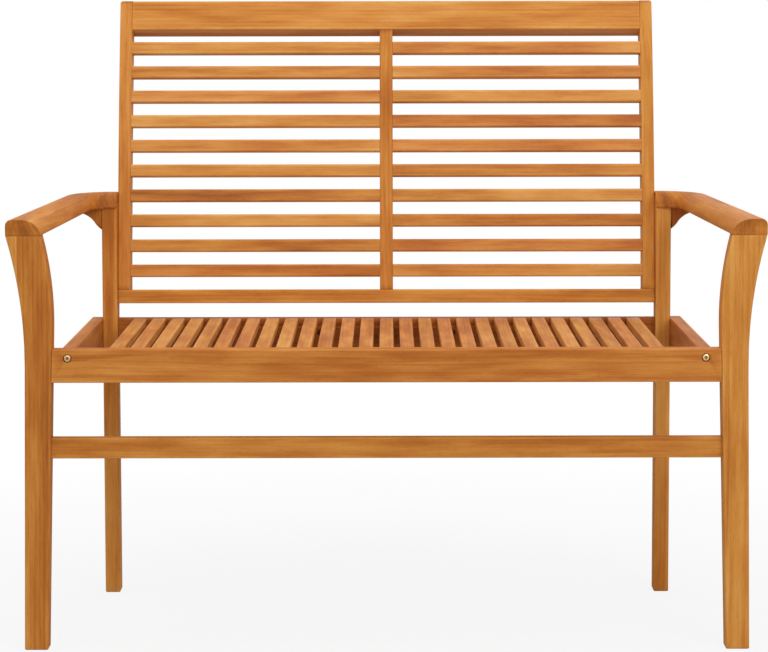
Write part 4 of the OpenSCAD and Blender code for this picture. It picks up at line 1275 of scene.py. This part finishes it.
# %% Lights
WHITE = (1.0, 1.0, 1.0, 1.0)
ROOM_LIGHT = 0.60
world = bpy.data.worlds.new("studio")
bpy.context.scene.world = world
world.use_nodes = True
tree = world.node_tree
paths = wires(add(tree, "ShaderNodeLightPath").outputs)
mirrored = paths["Is Glossy Ray"].math("MAXIMUM", paths["Is Transmission Ray"])
seen = paths["Is Camera Ray"].math("MAXIMUM", mirrored)
fill(tree.nodes["Background"], {"Color": WHITE, "Strength": ranged(seen, 0.0, 1.0, ROOM_LIGHT, 1.0)})

for name, place, aim, size, power in (
        ("overhead", (-0.3, -0.2, 3.2), 0.4, 2.4, 26), ("front", (2.0, -3.8, 2.6), 0.5, 2.2, 71),
        ("left", (-3.2, -1.8, 1.6), 0.5, 1.8, 8), ("behind", (1.4, 3.6, 2.2), 0.5, 2.2, 14)):
    data = bpy.data.lights.new(name, "AREA")
    data.size, data.energy = size, power
    light = as_object(name, data)
    light.location = place
    light.rotation_euler = (Vector((0, 0, aim)) - Vector(place)).to_track_quat("-Z", "Y").to_euler()
    print("the lamp", name, "gives", power, "watts")

# %% [markdown]
# ## Floor
# The floor is white and catches the soft shadow of the legs. Away from the bench it fades into the
# white of the room, so that no horizon shows behind the back.

# %% Floor
FLOOR_HALF = 9
floor_mesh = bpy.data.meshes.new("floor")
floor_mesh.from_pydata([(x * FLOOR_HALF, y * FLOOR_HALF, 0) for x, y in ((-1, -1), (1, -1), (1, 1), (-1, 1))],
                       [], [(0, 1, 2, 3)])
floor = as_object("floor", floor_mesh)
material, tree, matt = new_material("white floor")
fill(matt, {"Base Color": (0.52, 0.52, 0.52, 1.0), "Roughness": 0.9})
glow = made(tree, "ShaderNodeEmission", {"Color": WHITE, "Strength": 1.0})
away = made(tree, "ShaderNodeTexCoord", None, "Object").vector("LENGTH", output="Value")
paths = wires(add(tree, "ShaderNodeLightPath").outputs)
share = ranged(away, 0.5, 1.6, 0.87, 1.0) * paths["Is Camera Ray"]
surface = made(tree, "ShaderNodeMixShader", {0: share, 1: Wire(matt.outputs[0]), 2: glow})
fill(tree.nodes["Material Output"], {"Surface": surface})
floor_mesh.materials.append(material)
print("the floor is", 2 * FLOOR_HALF, "metres wide")

# %% [markdown]
# ## Camera
# A long lens from a little over four metres, level with the bench's top and tipped down slightly.
# These values come from fitting the bench's own edges to the photograph. A small shift moves the
# picture in its frame, and a slight roll levels it as the photographer held the camera.

# %% Camera
IMAGE_WIDTH, FOCAL_PIXELS = 768, 2890
MIDDLE_PIXEL, PIXELS_DOWN = 386.5, 31.3
CAMERA_AWAY, CAMERA_HEIGHT, CAMERA_TIP, CAMERA_ROLL = 4.2, 0.9273, 0.0951, 0.0017
data = bpy.data.cameras.new("camera")
data.sensor_width = 36
data.lens = FOCAL_PIXELS * data.sensor_width / IMAGE_WIDTH
data.shift_x = -(MIDDLE_PIXEL - IMAGE_WIDTH / 2) / IMAGE_WIDTH
data.shift_y = -PIXELS_DOWN / IMAGE_WIDTH
camera = as_object("camera", data)
tilt = Matrix.Rotation(math.pi / 2 - CAMERA_TIP, 4, "X")
roll = Matrix.Rotation(-CAMERA_ROLL, 4, "Z")
camera.matrix_world = Matrix.Translation((0, front - CAMERA_AWAY, CAMERA_HEIGHT)) @ tilt @ roll
bpy.context.scene.camera = camera
bpy.context.scene.view_settings.view_transform = "Standard"
print("the lens is", round(data.lens, 1), "mm long")
